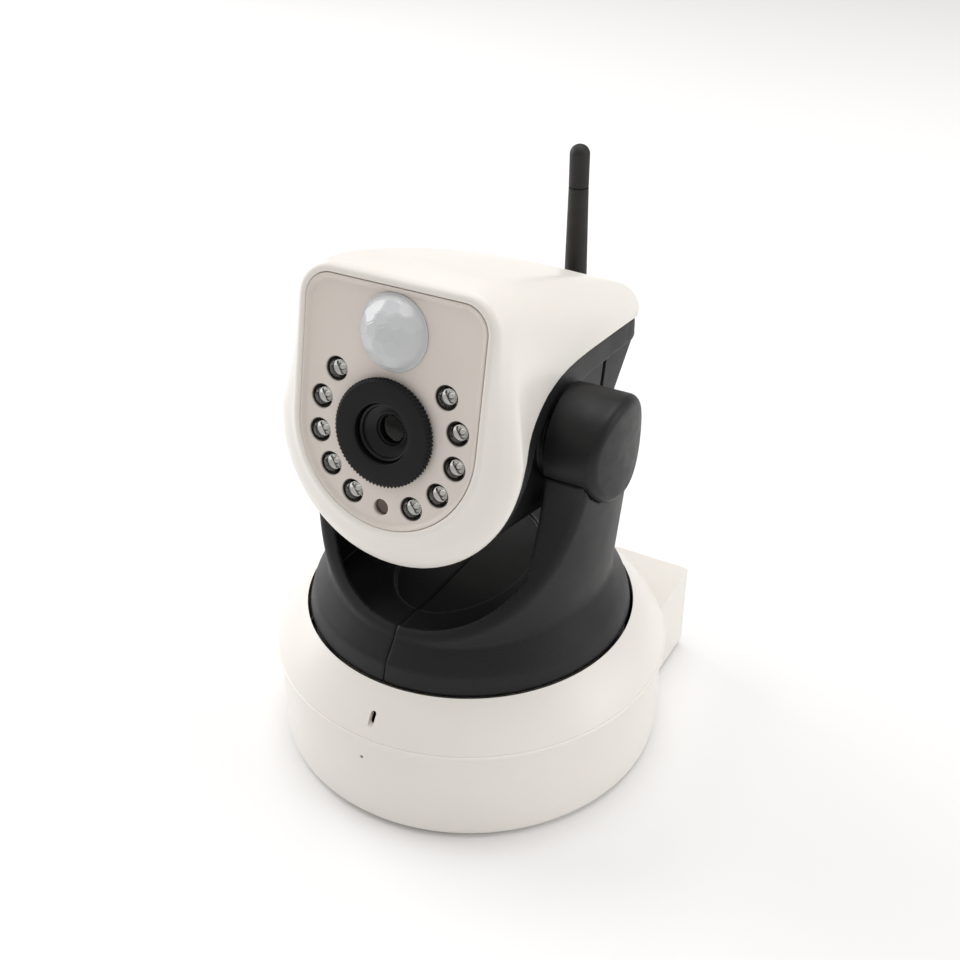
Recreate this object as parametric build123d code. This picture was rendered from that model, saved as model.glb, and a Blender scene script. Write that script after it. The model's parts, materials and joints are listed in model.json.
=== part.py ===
"""Pan and tilt baby monitor camera: round base, black yoke, white tilting head and a folding antenna.

Millimetres, +Z up.  The origin is on the pan axis in the plane that the feet stand on, and the camera
looks along -Y.  Head pieces are drawn in the head's own frame, with the lens axis along Y and the face
of the front panel in the plane Y = 0, and are then set at the resting pitch.
"""
import math
import os

from build123d import *

os.makedirs("parts", exist_ok=True)

# ---------------------------------------------------------------- base
BASE_R = 52.5                # widest radius, at the lip of the upper shell
SHELL_R = 51.6               # radius of the lower shell
WALL = 2.0
BASE_BOTTOM = 0.6            # underside of the lower shell, above the feet
PART_Z = 27.0                # parting line between lower and upper shell
RIM_Z = 38.9                 # top of the opening in the upper shell
RIM_R = 43.3                 # radius of that opening
BROW_Z = 28.6                # here the upright lip turns into the dome
BROW_R = 52.0
BEAD_R = 0.6                 # rounding of the bead along the shell's lower edge
DOME_BULGE = 0.4             # outward and upward bow of the dome's profile
BLOCK_X = 42.5               # half width of the connector block
REAR_Y = 52.6                # rear face of the connector block
HOUSING_Y = 41.2             # joint between the tub and the connector housing behind it
FLOOR_Z = BASE_BOTTOM + WALL
INNER_R = SHELL_R - WALL
FOOT_R = 4.5
FOOT_RING_R = 40.0
TRIPOD_R = 3.175             # 1/4 inch tripod thread, nominal radius
TRIPOD_DEPTH = 7.5           # depth of the blind thread
JOIN_SCREW_R = 46.3          # ring of screws that joins the two base shells
JOIN_SCREW_ANGLES = (20, 160, 205, 335)
POST_R = 37.0                # ring of posts under the bearing plate
POST_ANGLES = (45, 135, 225, 315)
PLATE_Z = 30.0               # underside of the bearing plate
PLATE_T = 2.0
PLATE_R = 41.5

# ---------------------------------------------------------------- pan drive
HUB_R = 12.0
HUB_BORE_R = 7.0
RUN_GAP = 0.05               # radial clearance of a running fit
TABLE_R = 40.0
TABLE_Z = 34.2
TABLE_T = 2.0
PAN_MODULE = 0.6
PAN_TEETH = 66
PINION_TEETH = 14
PAN_GEAR_Z = 25.6
PAN_GEAR_T = 4.0
MESH_SLACK = 0.1             # added to each pair's centre distance
PAN_CENTRE = PAN_MODULE * (PAN_TEETH + PINION_TEETH) / 2 + MESH_SLACK
PAN_MOTOR_R = 12.0
PAN_MOTOR_Z = 7.0
PAN_MOTOR_H = 13.0
MOTOR_EAR = 17.5

# ---------------------------------------------------------------- yoke
SKIRT_R = 42.4
SKIRT_Z = 38.6
BAND_R = 41.2                # radius at the top of the skirt's nearly upright band
BAND_Z = 43.9
YOKE_WALL = 2.2
TOWER_R = 37.2
CREASE_Z = 52.3
TOWER_FLARE = 0.09           # growth of the tower's radius per millimetre of height
ARM_GAP = 27.4               # half of the gap between the arms
ARM_FRONT = -13.3            # front faces of the arms
ARM_REAR = 11.3
SCOOP_Z = 63.7               # where the slope and the arms' front faces would meet
SCOOP_R = 24.0               # radius that joins them
CAVITY_R = 34.4
CAVITY_FLOOR = 50.2
WIRE_HOLE_R = 3.5            # hole in the cavity's floor for the head's wires
WIRE_HOLE_Y = 14.0
DRUM_R = 13.0
DRUM_OUT = 42.5              # the drums' outer faces follow this radius about the pan axis
DRUM_IN = 29.6
DRUM_WALL = 2.2
DRUM_EDGE = 2.4              # rounding of the drums' outer edges

# ---------------------------------------------------------------- tilt
TILT_Y = -1.0
TILT_Z = 95.0
PITCH = 12.3                 # resting pitch of the lens axis above the horizon
TILT_D = 35.94               # the tilt axis lies this far behind the panel
TILT_V = -2.93               # and this far from the lens axis
STUB_R = 6.0
STUB_BORE_R = 3.5
STUB_IN = 15.5
FLANGE_IN = 27.6
BUSH_R = 9.0
BUSH_X = 22.2                # inner face of the bushes and of the bosses round them
TILT_MODULE = 0.5
TILT_TEETH = 40
TILT_GEAR_X = 16.2
TILT_GEAR_T = 3.6
TILT_CENTRE = TILT_MODULE * (TILT_TEETH + PINION_TEETH) / 2 + MESH_SLACK
TILT_DRIVE_ANGLE = 35.0      # direction of the pinion from the tilt axis, in the head's frame
TILT_MOTOR_R = 9.5
TILT_MOTOR_X = (-5.0, 13.0)

# ---------------------------------------------------------------- head
SKIN = 2.2                   # wall of the white front shell
COVER_STEP = 0.8             # the black cover lies this far inside the white shell's outline
COVER_W = 26.2               # half width of the black cover between the arms
COVER_WALL = 2.0
SWEEP_R = 43.4               # the cover keeps within this radius of the tilt axis
PANEL_W = 22.65
PANEL_TOP = 32.2
PANEL_T = 2.0
LEDGE = 1.3                  # width of the ledge that the panel rests on
LED_RING_R = 18.0
LED_PITCH = 360 / 14         # fourteen places on the ring, ten of them with a lamp
LED_R = 2.5
LED_HOLE_R = 2.8
PIR_V = 22.5
PIR_R = 8.6
PIR_RISE = 4.6
RING_R = 12.45
RING_FRONT = -2.35
RING_BACK = -0.25
RING_TEETH = 66
BARREL_R = 6.8
GLASS_R = 3.3
BOARD_D = 9.0                # front of the lamp board
SENSOR_D = 21.0              # front of the image sensor board

# ---------------------------------------------------------------- antenna
ANT_Y = 58.5                 # elbow axis of the antenna
ANT_Z = 15.0
ANT_TOP = 143.3
ANT_ROOT_R = 4.4
ANT_TIP_R = 2.65
KNUCKLE_R = 4.6
EAR_IN = 2.1                 # half width of the slot for the whip's tongue


def ring(outer, inner, z0, z1):
    """A plain ring about the Z axis."""
    height = z1 - z0
    return Pos(0, 0, z0) * (Cylinder(outer, height, align=(Align.CENTER, Align.CENTER, Align.MIN))
                            - Cylinder(inner, height, align=(Align.CENTER, Align.CENTER, Align.MIN)))


def rod(radius, z0, z1, x=0.0, y=0.0):
    """A plain round bar parallel to Z."""
    bar = Cylinder(radius, z1 - z0, align=(Align.CENTER, Align.CENTER, Align.MIN))
    return Pos(x, y, z0) * bar


def rod_x(radius, x0, x1, y=0.0, z=0.0):
    """A plain round bar parallel to X."""
    bar = Cylinder(radius, x1 - x0, align=(Align.CENTER, Align.CENTER, Align.MIN))
    return Pos(x0, y, z) * Rot(0, 90, 0) * bar


def rod_y(radius, y0, y1, x=0.0, z=0.0):
    """A plain round bar parallel to Y."""
    bar = Cylinder(radius, y1 - y0, align=(Align.CENTER, Align.CENTER, Align.MIN))
    return Pos(x, y0, z) * Rot(-90, 0, 0) * bar


def block(x0, x1, y0, y1, z0, z1):
    """A box between two corners."""
    return Pos(x0, y0, z0) * Box(x1 - x0, y1 - y0, z1 - z0, align=(Align.MIN, Align.MIN, Align.MIN))


def turned(points):
    """The solid that an outline of (radius, z) points sweeps about the Z axis."""
    outline = Polyline(*[(r, 0, z) for r, z in points], close=True)
    return revolve(make_face(outline), Axis.Z, 360)


def polar(radius, degrees):
    """The x and y of a point at a radius and an angle from +X."""
    return radius * math.cos(math.radians(degrees)), radius * math.sin(math.radians(degrees))


def write(shape, node):
    """Write one node's STEP file."""
    export_step(shape, "parts/" + node + ".step")


# ================================================================ gears
def involute(base_r, radius):
    """Polar angle of an involute's point at a radius."""
    spread = math.sqrt(max((radius / base_r) ** 2 - 1, 0))
    return spread - math.atan(spread)


def gear(module, teeth, thickness, turn=0.0):
    """A spur gear with involute flanks, a tooth centred on +X turned by an angle in degrees."""
    pitch_r = module * teeth / 2
    base_r = pitch_r * math.cos(math.radians(20))
    tip_r = pitch_r + 0.8 * module
    root_r = pitch_r - 1.1 * module
    half = math.pi / (2 * teeth) - 0.06 / (2 * pitch_r) + involute(base_r, pitch_r)
    start = max(base_r, root_r)
    radii = [start + (tip_r - start) * step / 4 for step in range(5)]
    points = []
    for tooth in range(teeth):
        middle = 2 * math.pi * tooth / teeth + math.radians(turn)
        flank = [(r, half - involute(base_r, r)) for r in radii]
        if root_r < start:
            flank.insert(0, (root_r, flank[0][1]))
        points += [(r, middle - a) for r, a in flank]
        points += [(r, middle + a) for r, a in reversed(flank)]
    outline = Polyline(*[(r * math.cos(a), r * math.sin(a)) for r, a in points], close=True)
    return extrude(make_face(outline), thickness)


# ================================================================ base
def base_plan(inset, z0, z1):
    """Round front and square connector block at the rear, drawn in by an inset."""
    radius = SHELL_R - inset
    rear = REAR_Y - inset
    side = BLOCK_X - inset
    round_part = rod(radius, z0, z1)
    square_part = block(-side, side, 18, rear, z0, z1)
    return round_part + square_part


def vertical_edges(shape, x_min, y_min):
    """The upright edges of a shape beyond the given distances from the pan axis."""
    uprights = shape.edges().filter_by(Axis.Z)
    return [e for e in uprights if abs(e.center().X) > x_min and e.center().Y > y_min]


def join_points():
    return [polar(JOIN_SCREW_R, a) for a in JOIN_SCREW_ANGLES]


def post_points():
    return [polar(POST_R, a) for a in POST_ANGLES]


def motor_ear_points():
    return [(-PAN_CENTRE, MOTOR_EAR), (-PAN_CENTRE, -MOTOR_EAR)]


def foot_points():
    return [polar(FOOT_RING_R, a) for a in (65, 115, 245, 295)]


RJ_X, RJ_W, RJ_H, RJ_D = 21.0, 15.8, 13.0, 21.0
RJ_Z = 11.6                  # the connectors stand on the main board
DC_X, DC_W, DC_H, DC_D = -17.0, 9.0, 11.0, 14.0
DC_HOLE_R = 3.1
DC_AXIS_Z = 17.6
CARD_X, CARD_W, CARD_T, CARD_L = -32.0, 11.0, 1.0, 15.0
CARD_Z = 12.6
RESET_X, RESET_Y = 31.0, 34.0
MIC_X = 0.9                  # the microphone's slot, just off the middle of the front
PINHOLE_X = -1.3
BOARD = (-38.0, 38.0, 22.0, 49.0)
BOARD_Z = 10.0
BOARD_T = 1.6


def base_tub():
    """Tub of the base with the connector housing, before the two are parted."""
    outer = base_plan(0, BASE_BOTTOM, PART_Z - 0.1)
    outer = fillet(vertical_edges(outer, 40, 50), 1.5)
    bottom = outer.edges().group_by(Axis.Z)[0]
    outer = fillet(bottom, 2.2)
    tub = rod(INNER_R, FLOOR_Z, PART_Z + 1)
    bay = block(-BLOCK_X + WALL, BLOCK_X - WALL, 18, REAR_Y - WALL, FLOOR_Z, PART_Z - 2.1)
    shell = outer - tub - bay
    for x, y in join_points():
        shell += rod(3.0, FLOOR_Z - 0.2, PART_Z - 0.1, x, y) & rod(SHELL_R - 0.5, 0, 40)
    for x, y in post_points():
        shell += rod(3.0, FLOOR_Z - 0.2, PLATE_Z, x, y)
    for x, y in motor_ear_points():
        shell += rod(2.6, FLOOR_Z - 0.2, PAN_MOTOR_Z + PAN_MOTOR_H - 1.0, x, y)
    shell += rod(7.5, FLOOR_Z - 0.2, BASE_BOTTOM + TRIPOD_DEPTH + 1.4)
    for x in (BOARD[0] + 4, BOARD[1] - 4):
        for y in (BOARD[2] + 4, BOARD[3] - 4):
            shell += rod(2.4, FLOOR_Z - 0.2, BOARD_Z, x, y)
    for x, y in join_points():
        shell -= rod(1.3, 0, PART_Z + 1, x, y)
        shell -= rod(2.6, 0, BASE_BOTTOM + 1.6, x, y)
    for x, y in post_points():
        shell -= rod(1.0, PLATE_Z - 8, PLATE_Z + 1, x, y)
    for x, y in motor_ear_points():
        shell -= rod(0.9, PAN_MOTOR_Z + PAN_MOTOR_H - 8, 40, x, y)
    for x, y in foot_points():
        shell -= rod(FOOT_R, 0, BASE_BOTTOM + 0.8, x, y)
    shell -= rod(5.0, 0, BASE_BOTTOM + TRIPOD_DEPTH)
    rear = (REAR_Y - 4, REAR_Y + 1)
    shell -= block(RJ_X - RJ_W / 2, RJ_X + RJ_W / 2, *rear, RJ_Z, RJ_Z + RJ_H)
    shell -= rod_y(DC_HOLE_R + 0.7, *rear, DC_X, DC_AXIS_Z)
    shell -= rod_y(3.0, *rear, 0, ANT_Z)
    shell -= block(CARD_X - 6.2, CARD_X + 6.2, *rear, CARD_Z - 0.7, CARD_Z + CARD_T + 0.7)
    shell -= rod(1.3, 0, FLOOR_Z + 1, RESET_X, RESET_Y)
    for count, radius in ((1, 0), (6, 4), (12, 8)):
        for k in range(count):
            x, y = polar(radius, 360 * k / count)
            shell -= rod(0.8, 0, FLOOR_Z + 0.5, x, y - 28)
    shell -= rod_y(0.5, -SHELL_R - 1, -SHELL_R + WALL + 1, PINHOLE_X, 21.0)
    return shell


def dome(inset, floor):
    """Solid under the gently domed top of the upper shell, drawn in by an inset, from a floor upwards."""
    lip = BROW_R - inset
    brow = (lip, 0, BROW_Z)
    top = (RIM_R, 0, RIM_Z - inset)
    middle = ((lip + RIM_R) / 2 + DOME_BULGE, 0, (BROW_Z + RIM_Z - inset) / 2 + DOME_BULGE)
    outline = ThreePointArc(brow, middle, top)
    outline += Polyline(top, (0, 0, RIM_Z - inset), (0, 0, floor), (lip, 0, floor), brow)
    return revolve(make_face(outline), Axis.Z, 360)


def base_upper_shell():
    """Domed ring over the lower shell, with the round opening that the yoke turns in."""
    bead = Pos(0, 0, PART_Z + BEAD_R) * Torus(BASE_R - BEAD_R, BEAD_R)
    shell = dome(0, PART_Z) + bead - dome(WALL, PART_Z - 1) - rod(RIM_R, PART_Z, 60)
    for x, y in join_points():
        shell += rod(2.6, PART_Z, 34.0, x, y) & dome(1.0, PART_Z)
    for x, y in join_points():
        shell -= rod(1.3, PART_Z - 1, 32.0, x, y)
    slot = block(MIC_X - 0.75, MIC_X + 0.75, -60, -40, 30.8, 34.2)
    slot = fillet(slot.edges().filter_by(Axis.Y), 0.7)
    return shell - slot


def rubber_feet():
    feet = [rod(FOOT_R - 0.1, 0, BASE_BOTTOM + 0.8, x, y) for x, y in foot_points()]
    return Compound([chamfer(f.edges().group_by(Axis.Z)[0], 0.4) for f in feet])


def tripod_insert():
    """Brass insert with the blind 1/4 inch thread in the middle of the underside."""
    body = rod(5.0, 0, BASE_BOTTOM + TRIPOD_DEPTH)
    return body - rod(TRIPOD_R, 0, TRIPOD_DEPTH)


def base_screws():
    """Four screws from below that hold the two base shells together."""
    screws = []
    for x, y in join_points():
        head = rod(2.4, BASE_BOTTOM + 0.2, BASE_BOTTOM + 1.6, x, y)
        cross = block(x - 1.3, x + 1.3, y - 0.25, y + 0.25, 0, BASE_BOTTOM + 0.9)
        cross += block(x - 0.25, x + 0.25, y - 1.3, y + 1.3, 0, BASE_BOTTOM + 0.9)
        screws.append(head + rod(1.3, BASE_BOTTOM + 1.6, 31.5, x, y) - cross)
    return Compound(screws)


def bearing_plate():
    """Fixed plate that carries the turning yoke."""
    plate = ring(PLATE_R, HUB_R + RUN_GAP, PLATE_Z, PLATE_Z + PLATE_T)
    for x, y in post_points():
        plate -= rod(1.15, 0, 60, x, y)
    return plate


def thrust_washer():
    return ring(17.0, HUB_R + RUN_GAP, PLATE_Z + PLATE_T, TABLE_Z - 0.05)


def plate_screws():
    screws = []
    for x, y in post_points():
        screws.append(rod(2.0, PLATE_Z + PLATE_T, PLATE_Z + PLATE_T + 1.3, x, y)
                      + rod(1.0, PLATE_Z - 7, PLATE_Z + PLATE_T, x, y))
    return Compound(screws)


def main_board():
    board = block(*BOARD, BOARD_Z, BOARD_Z + BOARD_T)
    for x, y in post_points():
        board -= rod(3.5, 0, 40, x, y)
    for x, y in motor_ear_points():
        board -= rod(3.2, 0, 40, x, y)
    board -= rod(PAN_MOTOR_R + 0.6, 0, 40, -PAN_CENTRE, 0)
    top = BOARD_Z + BOARD_T
    processor = block(-6, 8, 28, 42, top, top + 1.4)
    heat_sink = block(-5, 7, 29, 41, top + 1.4, top + 2.6)
    for k in range(5):
        heat_sink += block(-5 + 2.75 * k, -4 + 2.75 * k, 29, 41, top + 2.6, top + 6)
    return board + processor + heat_sink


def rj45_jack():
    """Network socket with its stepped mouth."""
    top = RJ_Z + RJ_H
    body = block(RJ_X - RJ_W / 2 + 0.1, RJ_X + RJ_W / 2 - 0.1, REAR_Y - RJ_D, REAR_Y - 0.3, RJ_Z, top - 0.1)
    mouth = block(RJ_X - 5.9, RJ_X + 5.9, REAR_Y - 14, REAR_Y + 1, RJ_Z + 2.6, RJ_Z + 9.4)
    latch = block(RJ_X - 3.1, RJ_X + 3.1, REAR_Y - 14, REAR_Y + 1, RJ_Z + 9.3, RJ_Z + 11.4)
    return body - mouth - latch


def rj45_contacts():
    """Eight spring contacts inside the network socket."""
    wires = []
    for k in range(8):
        x = RJ_X + (k - 3.5) * 1.02
        wires.append(block(x - 0.2, x + 0.2, REAR_Y - 13.9, REAR_Y - 5, RJ_Z + 2.6, RJ_Z + 3.1))
    return Compound(wires)


def dc_jack():
    """Power socket: a round mouth with a centre pin."""
    body = block(DC_X - DC_W / 2, DC_X + DC_W / 2, REAR_Y - DC_D, REAR_Y - WALL, RJ_Z, RJ_Z + DC_H)
    collar = rod_y(DC_HOLE_R + 0.7, REAR_Y - WALL, REAR_Y - 0.3, DC_X, DC_AXIS_Z)
    mouth = rod_y(DC_HOLE_R, REAR_Y - 11, REAR_Y + 1, DC_X, DC_AXIS_Z)
    pin = rod_y(1.0, REAR_Y - 11.2, REAR_Y - 1.5, DC_X, DC_AXIS_Z)
    return body + collar - mouth + pin


def card_slot():
    """Metal cage on the main board that guides the memory card."""
    top = CARD_Z + CARD_T + 1.0
    cage = block(CARD_X - 7, CARD_X + 7, REAR_Y - 19, REAR_Y - WALL - 0.05, BOARD_Z + BOARD_T, top)
    room = block(CARD_X - 5.75, CARD_X + 5.75, REAR_Y - 18, REAR_Y, CARD_Z - 0.3, CARD_Z + CARD_T + 0.3)
    return cage - room


def memory_card():
    """Card in its slot, with the thumb ridge just outside the rear face."""
    half = CARD_W / 2
    card = block(CARD_X - half, CARD_X + half, REAR_Y - 15.5, REAR_Y - 0.5, CARD_Z, CARD_Z + CARD_T - 0.1)
    ridge = block(CARD_X - half, CARD_X + half, REAR_Y - 1.6, REAR_Y - 0.5, CARD_Z, CARD_Z + CARD_T + 0.2)
    return card + ridge


def reset_switch():
    """Small switch under the main board that the reset plunger works."""
    body = block(RESET_X - 3, RESET_X + 3, RESET_Y - 3, RESET_Y + 3, BOARD_Z - 3.5, BOARD_Z)
    return body - rod(1.55, 0, BOARD_Z - 0.8, RESET_X, RESET_Y)


def reset_button():
    """Plunger that is reached with a pin through the hole in the underside."""
    return rod(1.5, BOARD_Z - 5.6, BOARD_Z - 1.6, RESET_X, RESET_Y)


def speaker():
    """Round loudspeaker over the sound holes: steel basket, magnet and cone."""
    frame = ring(14.0, 12.0, FLOOR_Z, FLOOR_Z + 3)
    back = rod(14.0, FLOOR_Z + 3, FLOOR_Z + 3.8)
    magnet = rod(8.0, FLOOR_Z + 3.8, FLOOR_Z + 6.5)
    return Pos(0, -28, 0) * (frame + back + magnet)


def microphone():
    """Microphone capsule behind the slot in the upper shell."""
    return rod_y(2.0, -45.8, -43.2, MIC_X, 31.2)


# ================================================================ pan drive
def pan_motor():
    """Stepper motor with two ears, and a bore for the turning shaft."""
    top = PAN_MOTOR_Z + PAN_MOTOR_H
    body = rod(PAN_MOTOR_R, PAN_MOTOR_Z, top)
    ears = block(-3, 3, -MOTOR_EAR, MOTOR_EAR, top - 1, top)
    ears += rod(3.0, top - 1, top, 0, MOTOR_EAR) + rod(3.0, top - 1, top, 0, -MOTOR_EAR)
    ears -= rod(1.0, 0, 60, 0, MOTOR_EAR) + rod(1.0, 0, 60, 0, -MOTOR_EAR)
    nose = rod(3.0, top, top + 1.5)
    return Pos(-PAN_CENTRE, 0, 0) * (body + ears + nose - rod(1.5 + RUN_GAP, PAN_MOTOR_Z + 4, 60))


def motor_screws():
    top = PAN_MOTOR_Z + PAN_MOTOR_H
    return Compound([rod(1.8, top, top + 1.2, x, y) + rod(0.9, top - 7, top, x, y)
                     for x, y in motor_ear_points()])


def pan_pinion():
    """Motor pinion with its shaft."""
    wheel = Pos(0, 0, PAN_GEAR_Z) * gear(PAN_MODULE, PINION_TEETH, PAN_GEAR_T - 0.2, 180 / PINION_TEETH)
    shaft = rod(1.5, PAN_MOTOR_Z + 5, PAN_GEAR_Z + 0.5)
    return Pos(-PAN_CENTRE, 0, 0) * (wheel + shaft)


def pan_gear():
    wheel = Pos(0, 0, PAN_GEAR_Z) * gear(PAN_MODULE, PAN_TEETH, PAN_GEAR_T)
    lightening = [rod(2.2, 0, 60, *polar(15.6, 60 * k + 30)) for k in range(6)]
    return wheel - rod(HUB_R, 0, 60) - Compound(lightening)


def pan_turntable():
    """Disc under the yoke with the hollow hub that runs in the bearing plate."""
    disc = ring(TABLE_R, HUB_BORE_R, TABLE_Z, TABLE_Z + TABLE_T)
    hub = ring(HUB_R, HUB_BORE_R, 23.4, TABLE_Z)
    groove = ring(HUB_R + 1, 11.2, 24.4, 25.5)
    table = disc + hub - groove
    for x, y in yoke_screw_points():
        table -= rod(1.3, 0, 60, x, y)
    return table


def pan_clip():
    """Retaining clip in the hub's groove, below the pan gear."""
    clip = ring(14.0, 11.2, 24.45, 25.45)
    return clip - block(-3, 3, 8, 20, 20, 30)


def yoke_screw_points():
    return [polar(30.0, a) for a in (35, 145, 215, 325)]


# ================================================================ yoke
def tower_r(z):
    return TOWER_R + TOWER_FLARE * (z - CREASE_Z)


YOKE_TOP = TILT_Z + 2.0


def yoke_round(inset):
    """Turned outline of the skirt's upright band, its cone and the tower."""
    band_top = BAND_R - inset
    points = [(0, SKIRT_Z), (SKIRT_R - inset, SKIRT_Z), (SKIRT_R - inset, SKIRT_Z + 0.8), (band_top, BAND_Z),
              (TOWER_R - inset, CREASE_Z), (tower_r(YOKE_TOP) - inset, YOKE_TOP), (0, YOKE_TOP)]
    return turned(points)


def scoop(grow):
    """The opening before the arms: a slope that sweeps up into the arms' upright front faces."""
    slope = 30.0
    front = ARM_FRONT + grow
    drop = grow / math.cos(math.radians(slope))
    corner = SCOOP_Z + grow * math.tan(math.radians(slope)) - drop
    reach = 50.0
    start = (front - reach, corner - reach * math.tan(math.radians(slope)))
    edge = FilletPolyline(start, (front, corner), (front, 110), radius=SCOOP_R + grow)
    edge += Polyline((front, 110), (front - reach, 110), start)
    return extrude(Plane.YZ * make_face(edge), 60, both=True)


def opening(grow):
    """Both scooped openings, before and behind the arms."""
    front = scoop(grow)
    return front + Pos(0, ARM_FRONT + ARM_REAR, 0) * mirror(front, Plane.XZ)


def cavity(grow):
    """Room between the arms for the head."""
    room = rod(CAVITY_R + grow, CAVITY_FLOOR - grow, 120)
    slot = block(-ARM_GAP - grow, ARM_GAP + grow, -60, 60, CAVITY_FLOOR - grow, 120)
    return room & slot


def yoke_body():
    """Both halves of the yoke as one, before they are parted."""
    outer = yoke_round(0) - opening(0) - cavity(0)
    drum = rod_x(DRUM_R, -60, 60, TILT_Y, TILT_Z)
    outer -= drum
    hollow = yoke_round(YOKE_WALL) - opening(YOKE_WALL) - cavity(YOKE_WALL)
    hollow -= rod_x(DRUM_R + 2, -60, 60, TILT_Y, TILT_Z)
    body = outer - hollow
    for x, y in yoke_screw_points():
        body += rod(2.6, TABLE_Z + TABLE_T, CAVITY_FLOOR - 1, x, y)
    for x, y in yoke_screw_points():
        body -= rod(1.0, 30, TABLE_Z + TABLE_T + 8, x, y)
    well = Pos(0, 0, CAVITY_FLOOR - 1.0) * extrude(Ellipse(16, 26), 5)
    body -= well
    body -= rod(WIRE_HOLE_R, 40, CAVITY_FLOOR + 1, 0, WIRE_HOLE_Y)
    return body


def yoke_screws():
    """Four screws up through the turntable into the yoke."""
    screws = []
    for x, y in yoke_screw_points():
        screws.append(rod(2.0, TABLE_Z - 1.2, TABLE_Z, x, y)
                      + rod(1.0, TABLE_Z, TABLE_Z + TABLE_T + 7, x, y))
    return Compound(screws)


def tilt_drum(side):
    """Round cup over the arm's top, with a softened outer rim."""
    def bar(inset, start):
        turned_end = rod(DRUM_OUT - inset, TILT_Z - 20, TILT_Z + 20)
        return rod_x(DRUM_R - inset, start, 60, TILT_Y, TILT_Z) & turned_end
    cup = bar(0, DRUM_IN)
    rim = [e for e in cup.edges() if e.center().X > DRUM_IN + 1]
    cup = fillet(rim, DRUM_EDGE) - bar(DRUM_WALL, DRUM_IN - 1)
    return cup if side > 0 else mirror(cup, Plane.YZ)


def tilt_axle(side):
    """Hollow stub axle with the flange that closes the drum on the head's side."""
    flange = rod_x(DRUM_R - 0.1, FLANGE_IN, DRUM_IN, TILT_Y, TILT_Z)
    stub = rod_x(STUB_R, STUB_IN, FLANGE_IN, TILT_Y, TILT_Z)
    axle = flange + stub - rod_x(STUB_BORE_R, 0, 60, TILT_Y, TILT_Z)
    return axle if side > 0 else mirror(axle, Plane.YZ)


def drive_angle():
    """World direction of the tilt pinion from the tilt axis at rest, in the plane Y Z."""
    return TILT_DRIVE_ANGLE - PITCH


def tilt_gear():
    """Gear fixed on the right-hand stub axle."""
    wheel = gear(TILT_MODULE, TILT_TEETH, TILT_GEAR_T, drive_angle()) - rod(STUB_R, -1, 60)
    return Pos(TILT_GEAR_X, TILT_Y, TILT_Z) * Plane.YZ.location * wheel


def tilt_pinion():
    """Pinion of the tilt motor with its shaft."""
    y = TILT_Y + TILT_CENTRE * math.cos(math.radians(drive_angle()))
    z = TILT_Z + TILT_CENTRE * math.sin(math.radians(drive_angle()))
    turn = drive_angle() + 180 + 180 / PINION_TEETH
    wheel = gear(TILT_MODULE, PINION_TEETH, TILT_GEAR_T - 0.2, turn)
    return Pos(TILT_GEAR_X + 0.1, y, z) * Plane.YZ.location * wheel + rod_x(1.0, 3.0, TILT_GEAR_X + 0.5, y, z)


# ================================================================ head
def set_head(shape):
    """Move a shape from the head's frame to its place at the resting pitch."""
    return Pos(0, TILT_Y, TILT_Z) * Rot(-PITCH, 0, 0) * Pos(0, -TILT_D, -TILT_V) * shape


# depth behind the panel, half width and its height, lowest point, half width at the top, top, corner
HEAD_STATIONS = (
    (-1.2, 24.0, 0.0, -24.0, 24.0, 33.6, 7.2),
    (-0.2, 25.4, -0.2, -25.6, 25.2, 34.6, 8.0),
    (2.0, 29.2, -1.0, -30.2, 25.7, 35.0, 9.0),
    (4.5, 31.4, -1.6, -33.2, 26.0, 35.3, 9.6),
    (8.0, 30.6, -1.8, -34.0, 26.2, 35.6, 10.0),
    (14.0, 28.6, -2.0, -34.6, 26.4, 35.4, 10.0),
    (22.0, 27.0, -2.0, -35.0, 26.5, 34.7, 10.0),
    (34.0, 26.6, -2.0, -35.0, 26.5, 33.2, 10.0),
    (48.0, 26.6, -2.0, -35.0, 26.5, 31.2, 10.0),
    (60.0, 26.5, -2.0, -35.0, 26.4, 29.2, 8.5),
    (70.0, 26.3, -2.0, -35.0, 26.2, 27.2, 6.5),
    (75.0, 25.9, -2.0, -35.0, 25.8, 25.0, 5.0),
    (77.4, 24.4, -2.0, -35.0, 24.2, 22.0, 3.0),
)
CROWN = 0.4                  # rise of the middle of the top over its edges
REAR_END = 76.4              # the cover ends at this depth under the hood


def head_station(depth, wide, level, low, wide_top, top, corner, inset):
    """One section of the head: a half round below, nearly upright sides and a rounded, crowned top."""
    wide -= inset
    low += inset
    wide_top -= inset
    top -= inset
    corner = max(corner - inset, 1.0)
    side_end = (wide_top, top - corner)
    top_end = (wide_top - corner, top)
    cut = corner * (1 - math.sqrt(0.5))
    bend = (wide_top - cut, top - cut)
    outline = ThreePointArc((-wide, level), (0, low), (wide, level))
    outline += Line((wide, level), side_end)
    outline += ThreePointArc(side_end, bend, top_end)
    outline += ThreePointArc(top_end, (0, top + CROWN), (-top_end[0], top))
    outline += ThreePointArc((-top_end[0], top), (-bend[0], bend[1]), (-side_end[0], side_end[1]))
    outline += Line((-side_end[0], side_end[1]), (-wide, level))
    return Pos(0, depth, 0) * Rot(90, 0, 0) * make_face(outline)


def head_form(inset, first_depth=None, last_depth=None):
    """The head's whole outline as a solid, drawn in by an inset."""
    sections = []
    for station in HEAD_STATIONS:
        depth = station[0]
        if first_depth is not None and depth <= first_depth:
            continue
        if last_depth is not None and depth >= last_depth:
            continue
        sections.append(head_station(*station, inset))
    return loft(sections, ruled=True)


# the white shell's lower edge seen from the side: corners as (depth, height), and their radii
SPLIT = ((5.6, -60), (5.6, -4.0), (22.0, 8.2), (36.0, 14.3), (90, 20.2))
SPLIT_RADII = (12, 30, 30)


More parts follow.
